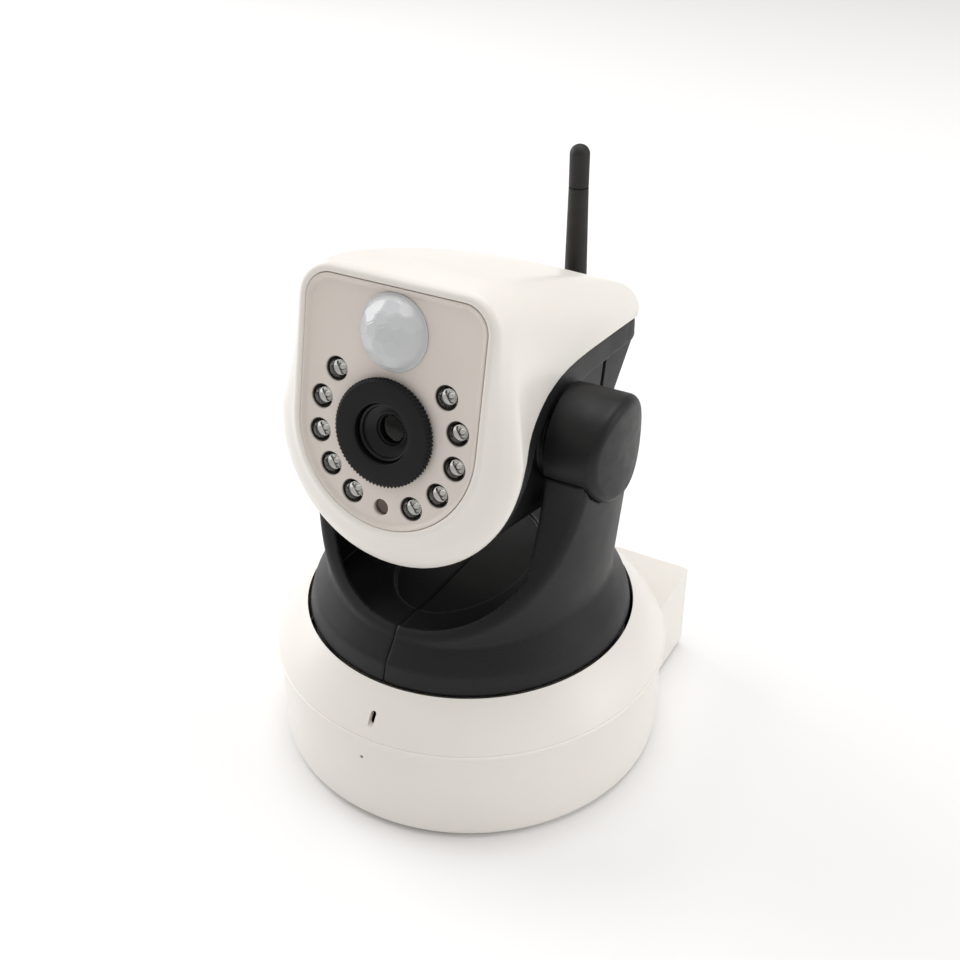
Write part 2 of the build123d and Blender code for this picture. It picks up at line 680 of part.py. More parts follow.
def split_side(upper):
    """All that lies above, or else below, the white shell's lower edge."""
    curve = FilletPolyline(*SPLIT, radius=list(SPLIT_RADII))
    if upper:
        curve += Polyline(SPLIT[-1], (90, 70), (-20, 70), (-20, -60), SPLIT[0])
    else:
        curve += Polyline(SPLIT[-1], (90, -60), SPLIT[0])
    return extrude(Plane.YZ * make_face(curve), 60, both=True)


def panel_outline(inset, d0, d1):
    """The front panel's outline: rounded corners above and a half round below."""
    side = PANEL_W - inset
    top = PANEL_TOP - inset
    plate = block(-side, side, d0, d1, 0, top)
    plate = fillet([e for e in plate.edges().filter_by(Axis.Y) if e.center().Z > 1], 6.0)
    return plate + rod_y(side, d0, d1)


def head_front_shell():
    """White front shell: a flared mask round the panel and a deep hood over the top."""
    outer = head_form(0)
    inner = head_form(SKIN, first_depth=2.1, last_depth=76)
    shell = (outer & split_side(True)) - inner
    shell -= panel_outline(-0.1, -5, PANEL_T + 0.1)
    shell -= panel_outline(LEDGE, 0, 12)
    for side in (-1, 1):
        boss = rod_y(2.8, 4.0, 13.5, side * 19.6, -19.0) & head_form(0.5)
        shell += boss
        shell -= rod_y(1.0, 5.5, 15, side * 19.6, -19.0)
    return shell


def rear_slope(inset):
    """Everything in front of the sloping rear face of the cover."""
    shift = inset * 1.17
    end = REAR_END - inset
    face = make_face(Polyline((-20, -60), (33.0 - shift, -60), (90.0 - shift, 34), (-20, 34), close=True))
    return extrude(Plane.YZ * face, 60, both=True) & block(-60, 60, -20, end, -60, 60)


FOOT_V = -25.5               # height of the seat for the tilt motor's bracket


def head_rear_cover():
    """Black cover between the arms, open at the front and at the top."""
    def form(inset):
        wide = COVER_W - inset
        body = head_form(COVER_STEP + inset, first_depth=3)
        body &= rod_x(SWEEP_R - inset, -60, 60, TILT_D, TILT_V)
        body &= rear_slope(inset)
        flank = block(-wide, wide, 14, 90, -60, 60) + block(-60, 60, 0, 14, -60, 60)
        return body & flank
    cover = (form(0) & split_side(False)) - form(COVER_WALL)
    cover += block(6, 13, 37, 43, -36, FOOT_V) & form(0.5)
    for side in (-1, 1):
        cover += rod_y(2.8, 13.6, 17.5, side * 19.6, -19.0)
        cover += block(side * 21 - 2.5, side * 21 + 2.5, 15, 17.5, -21, -17) & form(0.5)
        cover -= rod_y(1.1, 10, 40, side * 19.6, -19.0)
    for side in (-1, 1):
        cover -= rod_y(2.9, 0, 13.55, side * 19.6, -19.0)
        cover += rod_x(BUSH_R + 2.5, *sorted((side * BUSH_X, side * COVER_W)), TILT_D, TILT_V)
    cover -= rod_x(BUSH_R, -60, 60, TILT_D, TILT_V)
    for side in (-1, 1):
        edge = side * COVER_W
        cover -= block(edge - 0.8, edge + 0.8, 59.4, 60.6, 3, 30)
    return cover


def tilt_bush(side):
    """Plain bearing in the cover's side wall."""
    bush = rod_x(BUSH_R, BUSH_X, COVER_W, TILT_D, TILT_V)
    bush -= rod_x(STUB_R + RUN_GAP, 0, 60, TILT_D, TILT_V)
    return set_head(bush if side > 0 else mirror(bush, Plane.YZ))


def head_screws():
    screws = []
    for side in (-1, 1):
        x = side * 19.6
        screws.append(rod_y(2.0, 17.5, 18.8, x, -19.0) + rod_y(1.0, 6.5, 17.5, x, -19.0))
    return Compound(screws)


def led_angles():
    """Places of the ten lamps on the ring, from the level one upwards and down each side."""
    steps = (1.5, 0.5, -0.5, -1.5, -2.5)
    right = [LED_PITCH * s for s in steps]
    return right + [180 - a for a in right]


def led_points():
    return [polar(LED_RING_R, a) for a in led_angles()]


def front_panel():
    """Pale panel with holes for the lamps, the light sensor, the motion sensor and the lens."""
    panel = panel_outline(0, 0, PANEL_T)
    rim = panel.faces().sort_by(Axis.Y)[0].edges()
    panel = fillet(rim, 0.4)
    for x, v in led_points():
        panel -= rod_y(LED_HOLE_R, -1, 5, x, v)
    panel -= rod_y(1.9, -1, 5, 0, -LED_RING_R)
    panel -= rod_y(PIR_R - 0.5, -1, 5, 0, PIR_V)
    panel -= rod_y(BARREL_R + 0.9, -1, 5)
    return panel


def ir_leds():
    """Ten lamps with clear domes, one solid each."""
    lamps = []
    for x, v in led_points():
        dome = Pos(x, 1.6, v) * Sphere(LED_R) & block(-60, 60, -2, 1.6, -60, 60)
        body = rod_y(LED_R, 1.6, 7.0, x, v) + rod_y(LED_R + 0.35, 7.0, 8.0, x, v)
        legs = rod_y(0.3, 8.0, BOARD_D, x - 1.27, v) + rod_y(0.3, 8.0, BOARD_D, x + 1.27, v)
        lamps.append(dome + body + legs)
    return Compound(lamps)


def light_sensor():
    return rod_y(1.7, 1.0, BOARD_D, 0, -LED_RING_R)


def lamp_board():
    """Board behind the panel that carries lamps, light sensor and motion sensor."""
    board = rod_y(21.6, BOARD_D, BOARD_D + 1.4) + block(-16.5, 16.5, BOARD_D, BOARD_D + 1.4, 0, 30.5)
    return board - rod_y(BARREL_R + 2.2, 0, 20)


def cap_arc(base_r, base_z, rise):
    """Half of a dome's section, from its rim to its top, in the plane X Z."""
    sphere_r = (base_r ** 2 + rise ** 2) / (2 * rise)
    centre = base_z + rise - sphere_r
    half = math.asin(base_r / sphere_r) / 2
    middle = (sphere_r * math.sin(half), 0, centre + sphere_r * math.cos(half))
    return ThreePointArc((base_r, 0, base_z), middle, (0, 0, base_z + rise))


def pir_lens():
    """Milky domed lens of the motion sensor, with the collar that sits in the panel."""
    neck = PIR_R - 0.55
    bore = PIR_R - 1.5
    inner_rise = PIR_RISE - 1.0
    outline = cap_arc(PIR_R, 0.5, PIR_RISE)
    outline += Polyline((PIR_R, 0, 0.5), (PIR_R, 0, 0), (neck, 0, 0), (neck, 0, -3.5), (bore, 0, -3.5),
                        (bore, 0, 0.5))
    outline += cap_arc(bore, 0.5, inner_rise)
    outline += Line((0, 0, 0.5 + inner_rise), (0, 0, 0.5 + PIR_RISE))
    cap = revolve(make_face(outline), Axis.Z, 360)
    return Pos(0, 0, PIR_V) * Rot(90, 0, 0) * cap


def pir_sensor():
    can = rod_y(4.1, 5.0, 8.4, 0, PIR_V) + rod_y(4.6, 8.4, BOARD_D, 0, PIR_V)
    return can - block(-2.2, 2.2, 4.8, 5.3, PIR_V - 1.7, PIR_V + 1.7)


def focus_ring():
    """Knurled ring round the lens, turned by hand to focus."""
    body = rod_y(RING_R - 0.35, RING_FRONT, RING_BACK)
    body = chamfer(body.edges().group_by(Axis.Y)[0], 0.3)
    ridges = []
    for k in range(RING_TEETH):
        x, v = polar(RING_R - 0.4, 360 * k / RING_TEETH)
        ridges.append(rod_y(0.38, RING_FRONT + 0.35, RING_BACK, x, v))
    body = body + ridges
    body -= rod_y(BARREL_R, RING_FRONT - 1, 1)
    return body


def lens_barrel():
    """Barrel with the conical hood in front of the glass."""
    barrel = rod_y(BARREL_R, -0.9, 17.5)
    hood = Pos(0, 0.7, 0) * Rot(90, 0, 0) * Cone(3.7, 5.9, 3.2)
    barrel -= hood
    barrel -= rod_y(GLASS_R, 0, 20)
    return barrel


def lens_glass():
    """Front element of the lens."""
    ball = Pos(0, 2.35 + 9.0, 0) * Sphere(9.0)
    front = rod_y(GLASS_R, 2.3, 5.0) & ball
    rear = rod_y(GLASS_R, 12.0, 15.0)
    return Compound([front, rear])


def lens_holder():
    """Square mount on the sensor board with the sleeve that the barrel turns in."""
    base = block(-9, 9, 18.2, SENSOR_D, -9, 9)
    sleeve = rod_y(BARREL_R + 1.7, 3.0, 18.2)
    room = rod_y(BARREL_R + RUN_GAP, 0, 18.2)
    chamber = block(-6.5, 6.5, 18.0, SENSOR_D + 1, -6.5, 6.5)
    return base + sleeve - room - chamber


def image_sensor():
    return block(-4.5, 4.5, SENSOR_D - 1.2, SENSOR_D, -4.5, 4.5)


def sensor_board():
    board = block(-17, 17, SENSOR_D, SENSOR_D + 1.4, -15, 15)
    chip = block(-5, 5, SENSOR_D + 1.4, SENSOR_D + 2.4, -6, 4)
    return board + chip


def spacers():
    """Four posts between the lamp board and the sensor board."""
    return Compound([rod_y(1.6, BOARD_D + 1.4, SENSOR_D, x, v) for x in (-14, 14) for v in (-12.5, 12.5)])


def tilt_motor_centre():
    y = TILT_D + TILT_CENTRE * math.cos(math.radians(TILT_DRIVE_ANGLE))
    v = TILT_V + TILT_CENTRE * math.sin(math.radians(TILT_DRIVE_ANGLE))
    return y, v


def tilt_motor():
    centre = tilt_motor_centre()
    body = rod_x(TILT_MOTOR_R, *TILT_MOTOR_X, *centre)
    return body - rod_x(1.0 + RUN_GAP, 2.0, 20, *centre)


def tilt_bracket():
    """Bent steel strap that holds the tilt motor to the cover's floor."""
    y, v = tilt_motor_centre()
    x = TILT_MOTOR_X[1]
    plate = rod_x(TILT_MOTOR_R - 0.5, x, x + 1.0, y, v)
    plate += block(x, x + 1.0, 37, 43, FOOT_V, v)
    plate += block(x - 7, x + 1.0, 37, 43, FOOT_V, FOOT_V + 1)
    return plate - rod_x(2.0, 0, 60, y, v)


# ================================================================ antenna
def antenna_connector():
    """Fixed brass sleeve in the rear wall."""
    sleeve = rod_y(3.0, REAR_Y - 5.0, REAR_Y + 1.2, 0, ANT_Z)
    flange = rod_y(5.0, REAR_Y - WALL - 1.2, REAR_Y - WALL, 0, ANT_Z)
    return sleeve + flange


def antenna_knuckle():
    """Swivelling collar with the two ears of the elbow."""
    front = REAR_Y + 0.15
    collar = rod_y(KNUCKLE_R + 0.5, front, front + 1.4, 0, ANT_Z)
    ears = rod_x(KNUCKLE_R, -4.3, 4.3, ANT_Y, ANT_Z)
    ears += block(-4.3, 4.3, front + 1.0, ANT_Y, ANT_Z - KNUCKLE_R + 0.4, ANT_Z + KNUCKLE_R - 0.4)
    slot = block(-EAR_IN, EAR_IN, front + 1.4, ANT_Y + 10, ANT_Z - 10, ANT_Z + 10)
    body = collar + ears - slot
    body -= rod_x(1.2, -60, 60, ANT_Y, ANT_Z)
    return body - rod_y(3.0 + RUN_GAP, REAR_Y, REAR_Y + 1.3, 0, ANT_Z)


def antenna_pin():
    return rod_x(1.2, -4.2, 4.2, ANT_Y, ANT_Z)


CAP_Z = ANT_TOP - 11.4       # groove between the whip and its tip cap


def whip_r(z):
    """Radius of the tapering whip at a height."""
    start = ANT_Z + 8
    return ANT_ROOT_R + (ANT_TIP_R - ANT_ROOT_R) * min(1, (z - start) / (CAP_Z - start))


def antenna_whip():
    """Tapering rubber sleeve, with the tongue that turns between the knuckle's ears."""
    points = [(0, ANT_Z + 5.2), (ANT_ROOT_R - 0.6, ANT_Z + 5.2), (ANT_ROOT_R, ANT_Z + 5.8), (ANT_ROOT_R, ANT_Z + 8)]
    points += [(whip_r(CAP_Z), CAP_Z), (0, CAP_Z)]
    sleeve = Pos(0, ANT_Y, 0) * turned(points)
    tongue = rod_x(3.9, -EAR_IN + 0.1, EAR_IN - 0.1, ANT_Y, ANT_Z)
    tongue += block(-EAR_IN + 0.1, EAR_IN - 0.1, ANT_Y - 3.4, ANT_Y + 3.4, ANT_Z, ANT_Z + 5.4)
    return sleeve + tongue - rod_x(1.2 + RUN_GAP, -60, 60, ANT_Y, ANT_Z)


def antenna_tip_cap():
    """Domed cap on the whip's end, with a narrow neck where it meets the sleeve."""
    neck = rod(ANT_TIP_R - 0.35, CAP_Z, CAP_Z + 0.5, 0, ANT_Y)
    cap = rod(ANT_TIP_R, CAP_Z + 0.5, ANT_TOP, 0, ANT_Y)
    cap = fillet(cap.edges().group_by(Axis.Z)[-1], ANT_TIP_R - 0.1)
    return neck + cap


# ================================================================ the files
tub = base_tub()
write(tub & block(-60, 60, -60, HOUSING_Y, -1, 60), "base_lower_shell")
write(tub & block(-60, 60, HOUSING_Y, 60, -1, 60), "connector_housing")
write(base_upper_shell(), "base_upper_shell")
write(rubber_feet(), "rubber_feet")
write(tripod_insert(), "tripod_insert")
write(base_screws(), "base_screws")
write(bearing_plate(), "bearing_plate")
write(thrust_washer(), "thrust_washer")
write(plate_screws(), "plate_screws")
write(main_board(), "main_board")
write(rj45_jack(), "rj45_jack")
write(rj45_contacts(), "rj45_contacts")
write(dc_jack(), "dc_jack")
write(card_slot(), "card_slot")
write(memory_card(), "memory_card")
write(reset_switch(), "reset_switch")
write(reset_button(), "reset_button")
write(speaker(), "speaker")
write(microphone(), "microphone")
write(pan_motor(), "pan_motor")
write(motor_screws(), "motor_screws")
write(pan_pinion(), "pan_pinion")
write(pan_gear(), "pan_gear")
write(pan_turntable(), "pan_turntable")
write(pan_clip(), "pan_clip")

yoke = yoke_body()
write(yoke & block(0, 60, -60, 60, 0, 120), "yoke_right_half")
write(yoke & block(-60, 0, -60, 60, 0, 120), "yoke_left_half")
write(yoke_screws(), "yoke_screws")
for side, name in ((1, "right"), (-1, "left")):
    write(tilt_drum(side), "tilt_drum_" + name)
    write(tilt_axle(side), "tilt_axle_" + name)
    write(tilt_bush(side), "tilt_bush_" + name)
write(tilt_gear(), "tilt_gear")
write(tilt_pinion(), "tilt_pinion")

for piece in (head_front_shell, head_rear_cover, head_screws, front_panel, ir_leds, light_sensor,
              lamp_board, pir_lens, pir_sensor, focus_ring, lens_barrel, lens_glass, lens_holder,
              image_sensor, sensor_board, spacers, tilt_motor, tilt_bracket):
    write(set_head(piece()), piece.__name__)

write(antenna_connector(), "antenna_connector")
write(antenna_knuckle(), "antenna_knuckle")
write(antenna_pin(), "antenna_pin")
write(antenna_whip(), "antenna_whip")
write(antenna_tip_cap(), "antenna_tip_cap")
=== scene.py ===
"""Looks of the pan and tilt baby monitor camera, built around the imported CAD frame.

Lengths in the tables and functions below are millimetres, turned into metres by MM.  Head pieces are
drawn in the head's own frame (x, depth behind the front panel, height above the lens axis) and are set
in place by head_point, which takes its origin and directions from the focus joint of the frame.
"""
import json
import math

import bmesh
import bpy
import numpy as np
from mathutils import Matrix, Vector


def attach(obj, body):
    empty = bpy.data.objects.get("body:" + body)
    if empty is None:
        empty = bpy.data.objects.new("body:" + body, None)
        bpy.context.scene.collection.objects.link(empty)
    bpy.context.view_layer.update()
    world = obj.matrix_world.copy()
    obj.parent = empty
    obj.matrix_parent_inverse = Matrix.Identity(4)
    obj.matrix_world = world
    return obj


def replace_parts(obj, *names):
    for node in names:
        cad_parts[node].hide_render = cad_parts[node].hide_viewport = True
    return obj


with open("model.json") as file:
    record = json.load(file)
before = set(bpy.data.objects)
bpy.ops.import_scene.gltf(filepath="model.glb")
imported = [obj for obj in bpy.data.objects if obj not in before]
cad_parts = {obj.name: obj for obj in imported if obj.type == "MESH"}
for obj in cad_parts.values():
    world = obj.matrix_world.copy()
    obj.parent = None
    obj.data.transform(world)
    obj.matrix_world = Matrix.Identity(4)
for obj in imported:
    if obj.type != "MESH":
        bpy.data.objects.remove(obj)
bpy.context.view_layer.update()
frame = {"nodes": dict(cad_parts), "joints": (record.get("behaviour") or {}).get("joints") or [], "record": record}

MM = 0.001
JOINTS = {joint["name"]: joint for joint in frame["joints"]}


# ================================================================ frame of the head
LENS_ORIGIN = np.array(JOINTS["focus_turn"]["pos_m"])
LENS_FORWARD = np.array(JOINTS["focus_turn"]["axis"])
LENS_FORWARD = LENS_FORWARD / np.linalg.norm(LENS_FORWARD)
HEAD_X = np.array((1.0, 0.0, 0.0))
HEAD_DEPTH = -LENS_FORWARD
HEAD_UP = np.cross(HEAD_X, HEAD_DEPTH)


def head_point(x, depth, height):
    """World places, in metres, of points given in the head's frame in millimetres."""
    x, depth, height = np.broadcast_arrays(x, depth, height)
    local = np.stack([x, depth, height], axis=-1) * MM
    return LENS_ORIGIN + local @ np.array([HEAD_X, HEAD_DEPTH, HEAD_UP])


# ================================================================ mesh helpers
def link(name, mesh, material, body, smooth=True):
    """Make a piece from a mesh, with its material, and let it ride on a body."""
    piece = bpy.data.objects.new(name, mesh)
    bpy.context.scene.collection.objects.link(piece)
    mesh.materials.append(material)
    if smooth:
        mesh.polygons.foreach_set("use_smooth", [True] * len(mesh.polygons))
    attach(piece, body)
    return piece


def grid_faces(rows, columns, wrap_rows, wrap_columns, first=0):
    """Quads of a grid of points numbered row by row."""
    faces = []
    for i in range(rows if wrap_rows else rows - 1):
        for j in range(columns if wrap_columns else columns - 1):
            i2 = (i + 1) % rows
            j2 = (j + 1) % columns
            faces.append((first + i * columns + j, first + i * columns + j2,
                          first + i2 * columns + j2, first + i2 * columns + j))
    return faces


def grid_mesh(name, points, wrap_rows=False, wrap_columns=True):
    """Mesh of a grid of points, an array of rows by columns by 3."""
    rows, columns = points.shape[:2]
    mesh = bpy.data.meshes.new(name)
    mesh.from_pydata(points.reshape(-1, 3).tolist(), [], grid_faces(rows, columns, wrap_rows, wrap_columns))
    clean(mesh)
    return mesh


def clean(mesh):
    """Merge doubled points, drop empty faces and turn all faces outwards."""
    work = bmesh.new()
    work.from_mesh(mesh)
    bmesh.ops.remove_doubles(work, verts=work.verts, dist=1e-7)
    bmesh.ops.dissolve_degenerate(work, edges=work.edges, dist=1e-7)
    bmesh.ops.recalc_face_normals(work, faces=work.faces)
    work.to_mesh(mesh)
    work.free()


def turned_points(profile, place, segments=96):
    """Points of an outline of (radius, depth) turned about the depth axis; place maps them to the world."""
    turn = np.arange(segments) * 2 * math.pi / segments
    radius = np.array([p[0] for p in profile])[:, None]
    depth = np.array([p[1] for p in profile])[:, None]
    return place(radius * np.cos(turn), depth + 0 * turn, radius * np.sin(turn))


def turned_mesh(name, profile, place, segments=96):
    """Closed mesh of an outline turned about the depth axis, for outlines that start and end on it."""
    return grid_mesh(name, turned_points(profile, place, segments))


def join_meshes(name, meshes):
    """One mesh out of several."""
    work = bmesh.new()
    for mesh in meshes:
        work.from_mesh(mesh)
        bpy.data.meshes.remove(mesh)
    joined = bpy.data.meshes.new(name)
    work.to_mesh(joined)
    work.free()
    return joined


# ================================================================ solids from distance fields
def round_max(a, b, radius):
    """Intersection of two distance fields with a rounded edge."""
    u = np.maximum(a + radius, 0)
    v = np.maximum(b + radius, 0)
    return np.minimum(np.maximum(a, b), -radius) + np.sqrt(u * u + v * v)


def field_mesh(name, field, low, high, step, place):
    """Mesh of the surface on which a distance field is zero, by the method of surface nets."""
    axes = [np.arange(l - 1.5 * step, h + 2.5 * step, step) for l, h in zip(low, high)]
    corner = np.meshgrid(*axes, indexing="ij")
    value = field(*corner)
    shape = np.array(value.shape) - 1
    total = np.zeros(tuple(shape) + (3,))
    count = np.zeros(tuple(shape))
    for axis in range(3):
        others = [a for a in range(3) if a != axis]
        for offset_1 in (0, 1):
            for offset_2 in (0, 1):
                near = [None] * 3
                far = [None] * 3
                near[axis], far[axis] = slice(0, -1), slice(1, None)
                for other, offset in zip(others, (offset_1, offset_2)):
                    cut = slice(offset, value.shape[other] - 1 + offset)
                    near[other] = far[other] = cut
                a, b = value[tuple(near)], value[tuple(far)]
                crossed = (a < 0) != (b < 0)
                share = np.where(crossed, a / np.where(a == b, 1, a - b), 0)
                for k in range(3):
                    place_k = corner[k][tuple(near)]
                    if k == axis:
                        place_k = place_k + share * step
                    total[..., k] += np.where(crossed, place_k, 0)
                count += crossed
    used = count > 0
    number = np.full(tuple(shape), -1)
    number[used] = np.arange(used.sum())
    points = total[used] / count[used][:, None]
    for _ in range(2):
        points = settle(field, points)
    faces = []
    for axis in range(3):
        first, second = [(1, 2), (2, 0), (0, 1)][axis]
        inner = [slice(1, -1)] * 3
        inner[axis] = slice(0, -1)
        ahead = list(inner)
        ahead[axis] = slice(1, None)
        a, b = value[tuple(inner)], value[tuple(ahead)]
        for flip, mask in ((False, (a < 0) & (b >= 0)), (True, (a >= 0) & (b < 0))):
            cell = np.argwhere(mask)
            for k in (first, second):
                cell[:, k] += 1
            corners = []
            for step_1, step_2 in ((-1, -1), (0, -1), (0, 0), (-1, 0)):
                at = cell.copy()
                at[:, first] += step_1
                at[:, second] += step_2
                corners.append(number[at[:, 0], at[:, 1], at[:, 2]])
            quad = np.stack(corners[::-1] if flip else corners, axis=-1)
            faces.append(quad)
    quads = np.concatenate(faces)
    quads = quads[(quads >= 0).all(axis=1)]
    world = place(points[:, 0], points[:, 1], points[:, 2])
    mesh = bpy.data.meshes.new(name)
    mesh.from_pydata(world.tolist(), [], quads.tolist())
    clean(mesh)
    return mesh


def settle(field, points):
    """Move points along the field's slope on to its surface."""
    nudge = 0.02
    value = field(*points.T)
    slope = np.stack([(field(*(points + nudge * unit).T) - field(*(points - nudge * unit).T)) / (2 * nudge)
                      for unit in np.eye(3)], axis=-1)
    size = np.maximum((slope ** 2).sum(axis=1), 0.2)
    move = -(value / size)[:, None] * slope
    length = np.maximum(np.linalg.norm(move, axis=1), 1e-9)
    return points + move * np.minimum(1, 0.3 / length)[:, None]


# ================================================================ materials
def nodes_of(name):
    """A new material with its shader and its node tree."""
    material = bpy.data.materials.new(name)
    material.use_nodes = True
    tree = material.node_tree
    return material, tree, tree.nodes["Principled BSDF"]


def object_noise(tree, scale, detail=2.0, roughness=0.5):
    """Noise over the object's own coordinates."""
    coordinates = tree.nodes.new("ShaderNodeTexCoord")
    noise = tree.nodes.new("ShaderNodeTexNoise")
    noise.inputs["Scale"].default_value = scale
    noise.inputs["Detail"].default_value = detail
    noise.inputs["Roughness"].default_value = roughness
    tree.links.new(coordinates.outputs["Object"], noise.inputs["Vector"])
    return noise.outputs["Fac"]


def ramp(tree, source, low, high, start, end):
    """Colour ramp between two colours, driven by a value."""
    node = tree.nodes.new("ShaderNodeValToRGB")
    node.color_ramp.elements[0].position = start
    node.color_ramp.elements[1].position = end
    node.color_ramp.elements[0].color = (*low, 1)
    node.color_ramp.elements[1].color = (*high, 1)
    tree.links.new(source, node.inputs["Fac"])
    return node.outputs["Color"]


def spread(tree, source, low, high):
    """A value stretched to run between two limits."""
    node = tree.nodes.new("ShaderNodeMapRange")
    node.inputs["From Min"].default_value = 0.3
    node.inputs["From Max"].default_value = 0.7
    node.inputs["To Min"].default_value = low
    node.inputs["To Max"].default_value = high
    tree.links.new(source, node.inputs["Value"])
    return node.outputs["Result"]


def bump(tree, source, distance, strength, shader, onto=None):
    """Relief from a height value."""
    node = tree.nodes.new("ShaderNodeBump")
    node.inputs["Distance"].default_value = distance
    node.inputs["Strength"].default_value = strength
    tree.links.new(source, node.inputs["Height"])
    if onto is not None:
        tree.links.new(onto, node.inputs["Normal"])
    tree.links.new(node.outputs["Normal"], shader.inputs["Normal"])
    return node.outputs["Normal"]


def moulded(name, low, high, rough, grain_scale, grain_depth, grain_strength=0.3, coat=0.0, metallic=0.0,
            blotch=35.0, subsurface=0.0):
    """Moulded plastic, rubber or plated metal: faint blotches of colour, uneven gloss and a fine grain."""
    material, tree, shader = nodes_of(name)
    patches = object_noise(tree, blotch, 3.0)
    tree.links.new(ramp(tree, patches, low, high, 0.3, 0.7), shader.inputs["Base Color"])
    wear = object_noise(tree, blotch * 9, 4.0, 0.6)
    tree.links.new(spread(tree, wear, *rough), shader.inputs["Roughness"])
    grain = object_noise(tree, grain_scale, 2.0, 0.6)
    bump(tree, grain, grain_depth, grain_strength, shader)
    shader.inputs["Metallic"].default_value = metallic
    shader.inputs["Coat Weight"].default_value = coat
    shader.inputs["Coat Roughness"].default_value = 0.25
    if subsurface:
        shader.inputs["Subsurface Weight"].default_value = subsurface
        shader.inputs["Subsurface Radius"].default_value = (0.004, 0.003, 0.002)
    return material


def sparkling(name, low, high, rough):
    """Charcoal plastic from an eroded mould: a pebbled grain with tiny lighter flecks."""
    material, tree, shader = nodes_of(name)
    coordinates = tree.nodes.new("ShaderNodeTexCoord")
    cells = tree.nodes.new("ShaderNodeTexVoronoi")
    cells.inputs["Scale"].default_value = 2600
    tree.links.new(coordinates.outputs["Object"], cells.inputs["Vector"])
    flecks = ramp(tree, cells.outputs["Distance"], high, low, 0.05, 0.3)
    patches = object_noise(tree, 60, 4.0, 0.6)
    tone = ramp(tree, patches, (0.82, 0.82, 0.83), (1, 1, 1), 0.3, 0.7)
    mix = tree.nodes.new("ShaderNodeMix")
    mix.data_type = "RGBA"
    mix.blend_type = "MULTIPLY"
    mix.inputs[0].default_value = 1.0
    tree.links.new(flecks, mix.inputs[6])
    tree.links.new(tone, mix.inputs[7])
    tree.links.new(mix.outputs[2], shader.inputs["Base Color"])
    tree.links.new(spread(tree, patches, *rough), shader.inputs["Roughness"])
    pebbles = object_noise(tree, 2200, 2.0, 0.7)
    bump(tree, pebbles, 0.00006, 0.5, shader)
    return material


def clear(name, colour, rough, ior, transmission=1.0):
    """Glass or clear resin, with a faintly uneven surface."""
    material, tree, shader = nodes_of(name)
    streaks = object_noise(tree, 220, 2.0)
    low = tuple(0.93 * c for c in colour)
    tree.links.new(ramp(tree, streaks, low, colour, 0.3, 0.7), shader.inputs["Base Color"])
    tree.links.new(spread(tree, streaks, rough * 0.6, rough * 1.4), shader.inputs["Roughness"])
    shader.inputs["IOR"].default_value = ior
    shader.inputs["Transmission Weight"].default_value = transmission
    return material


WHITE = moulded("white_abs", (0.845, 0.808, 0.758), (0.872, 0.838, 0.790), (0.30, 0.42), 900, 0.00003, 0.10,
                coat=0.12, subsurface=0.06)
PANEL = moulded("panel_abs", (0.755, 0.690, 0.632), (0.785, 0.722, 0.666), (0.36, 0.46), 1300, 0.00003, 0.14)
BLACK = sparkling("charcoal_grained", (0.0065, 0.0065, 0.0073), (0.022, 0.022, 0.024), (0.44, 0.56))
DRUM = moulded("charcoal_satin", (0.0050, 0.0050, 0.0056), (0.0080, 0.0080, 0.0090), (0.40, 0.50), 1800,
               0.00003, 0.25)
FOCUS = moulded("focus_satin", (0.0045, 0.0045, 0.0050), (0.0070, 0.0070, 0.0078), (0.42, 0.54), 2600,
                0.00003, 0.30)
RUBBER = moulded("soft_rubber", (0.010, 0.010, 0.010), (0.017, 0.016, 0.016), (0.52, 0.66), 1500, 0.00004,
                 0.35)
PLAIN_BLACK = moulded("plain_black", (0.012, 0.012, 0.012), (0.022, 0.022, 0.022), (0.35, 0.5), 1200, 0.00003)
BRASS = moulded("turned_brass", (0.58, 0.40, 0.17), (0.72, 0.53, 0.26), (0.22, 0.38), 700, 0.00003, 0.3,
                metallic=1.0)
STEEL = moulded("plated_steel", (0.42, 0.42, 0.43), (0.58, 0.58, 0.59), (0.24, 0.40), 500, 0.00003, 0.3,
                metallic=1.0)
MOTOR = moulded("motor_can", (0.45, 0.46, 0.47), (0.58, 0.59, 0.60), (0.30, 0.45), 500, 0.00003, 0.3,
                metallic=0.9)
BOARD = moulded("circuit_board", (0.010, 0.070, 0.028), (0.016, 0.100, 0.045), (0.30, 0.45), 600, 0.00005)
NYLON = moulded("nylon", (0.66, 0.64, 0.56), (0.74, 0.72, 0.65), (0.38, 0.5), 900, 0.00003)
SENSOR = moulded("glazed_cell", (0.050, 0.020, 0.011), (0.115, 0.052, 0.030), (0.15, 0.3), 800, 0.00003,
                 coat=0.5, blotch=600)
CLEAR_RESIN = clear("clear_resin", (0.93, 0.94, 0.93), 0.03, 1.50)
COATED_GLASS = clear("coated_glass", (0.14, 0.17, 0.11), 0.02, 1.32)
CHROME = moulded("bright_plating", (0.80, 0.79, 0.76), (0.90, 0.89, 0.86), (0.08, 0.16), 900, 0.00002, 0.2,
                 metallic=1.0, blotch=500)
# painted shade: a near-black colour for the inside of the lamps and the gap round them, standing in for the shade
# there
LAMP_SHADE_PAINT = moulded("painted_shade_lamps", (0.010, 0.007, 0.005), (0.026, 0.018, 0.012), (0.25, 0.4), 900, 0.00003,
                    blotch=700)
MILKY = moulded("milky_polyethylene", (0.56, 0.575, 0.59), (0.63, 0.645, 0.66), (0.14, 0.22), 900, 0.00002,
                0.1, subsurface=0.04)
BARREL_BLACK = moulded("anodised_black", (0.010, 0.010, 0.011), (0.016, 0.016, 0.017), (0.30, 0.40), 1500,
                       0.00002, 0.2)

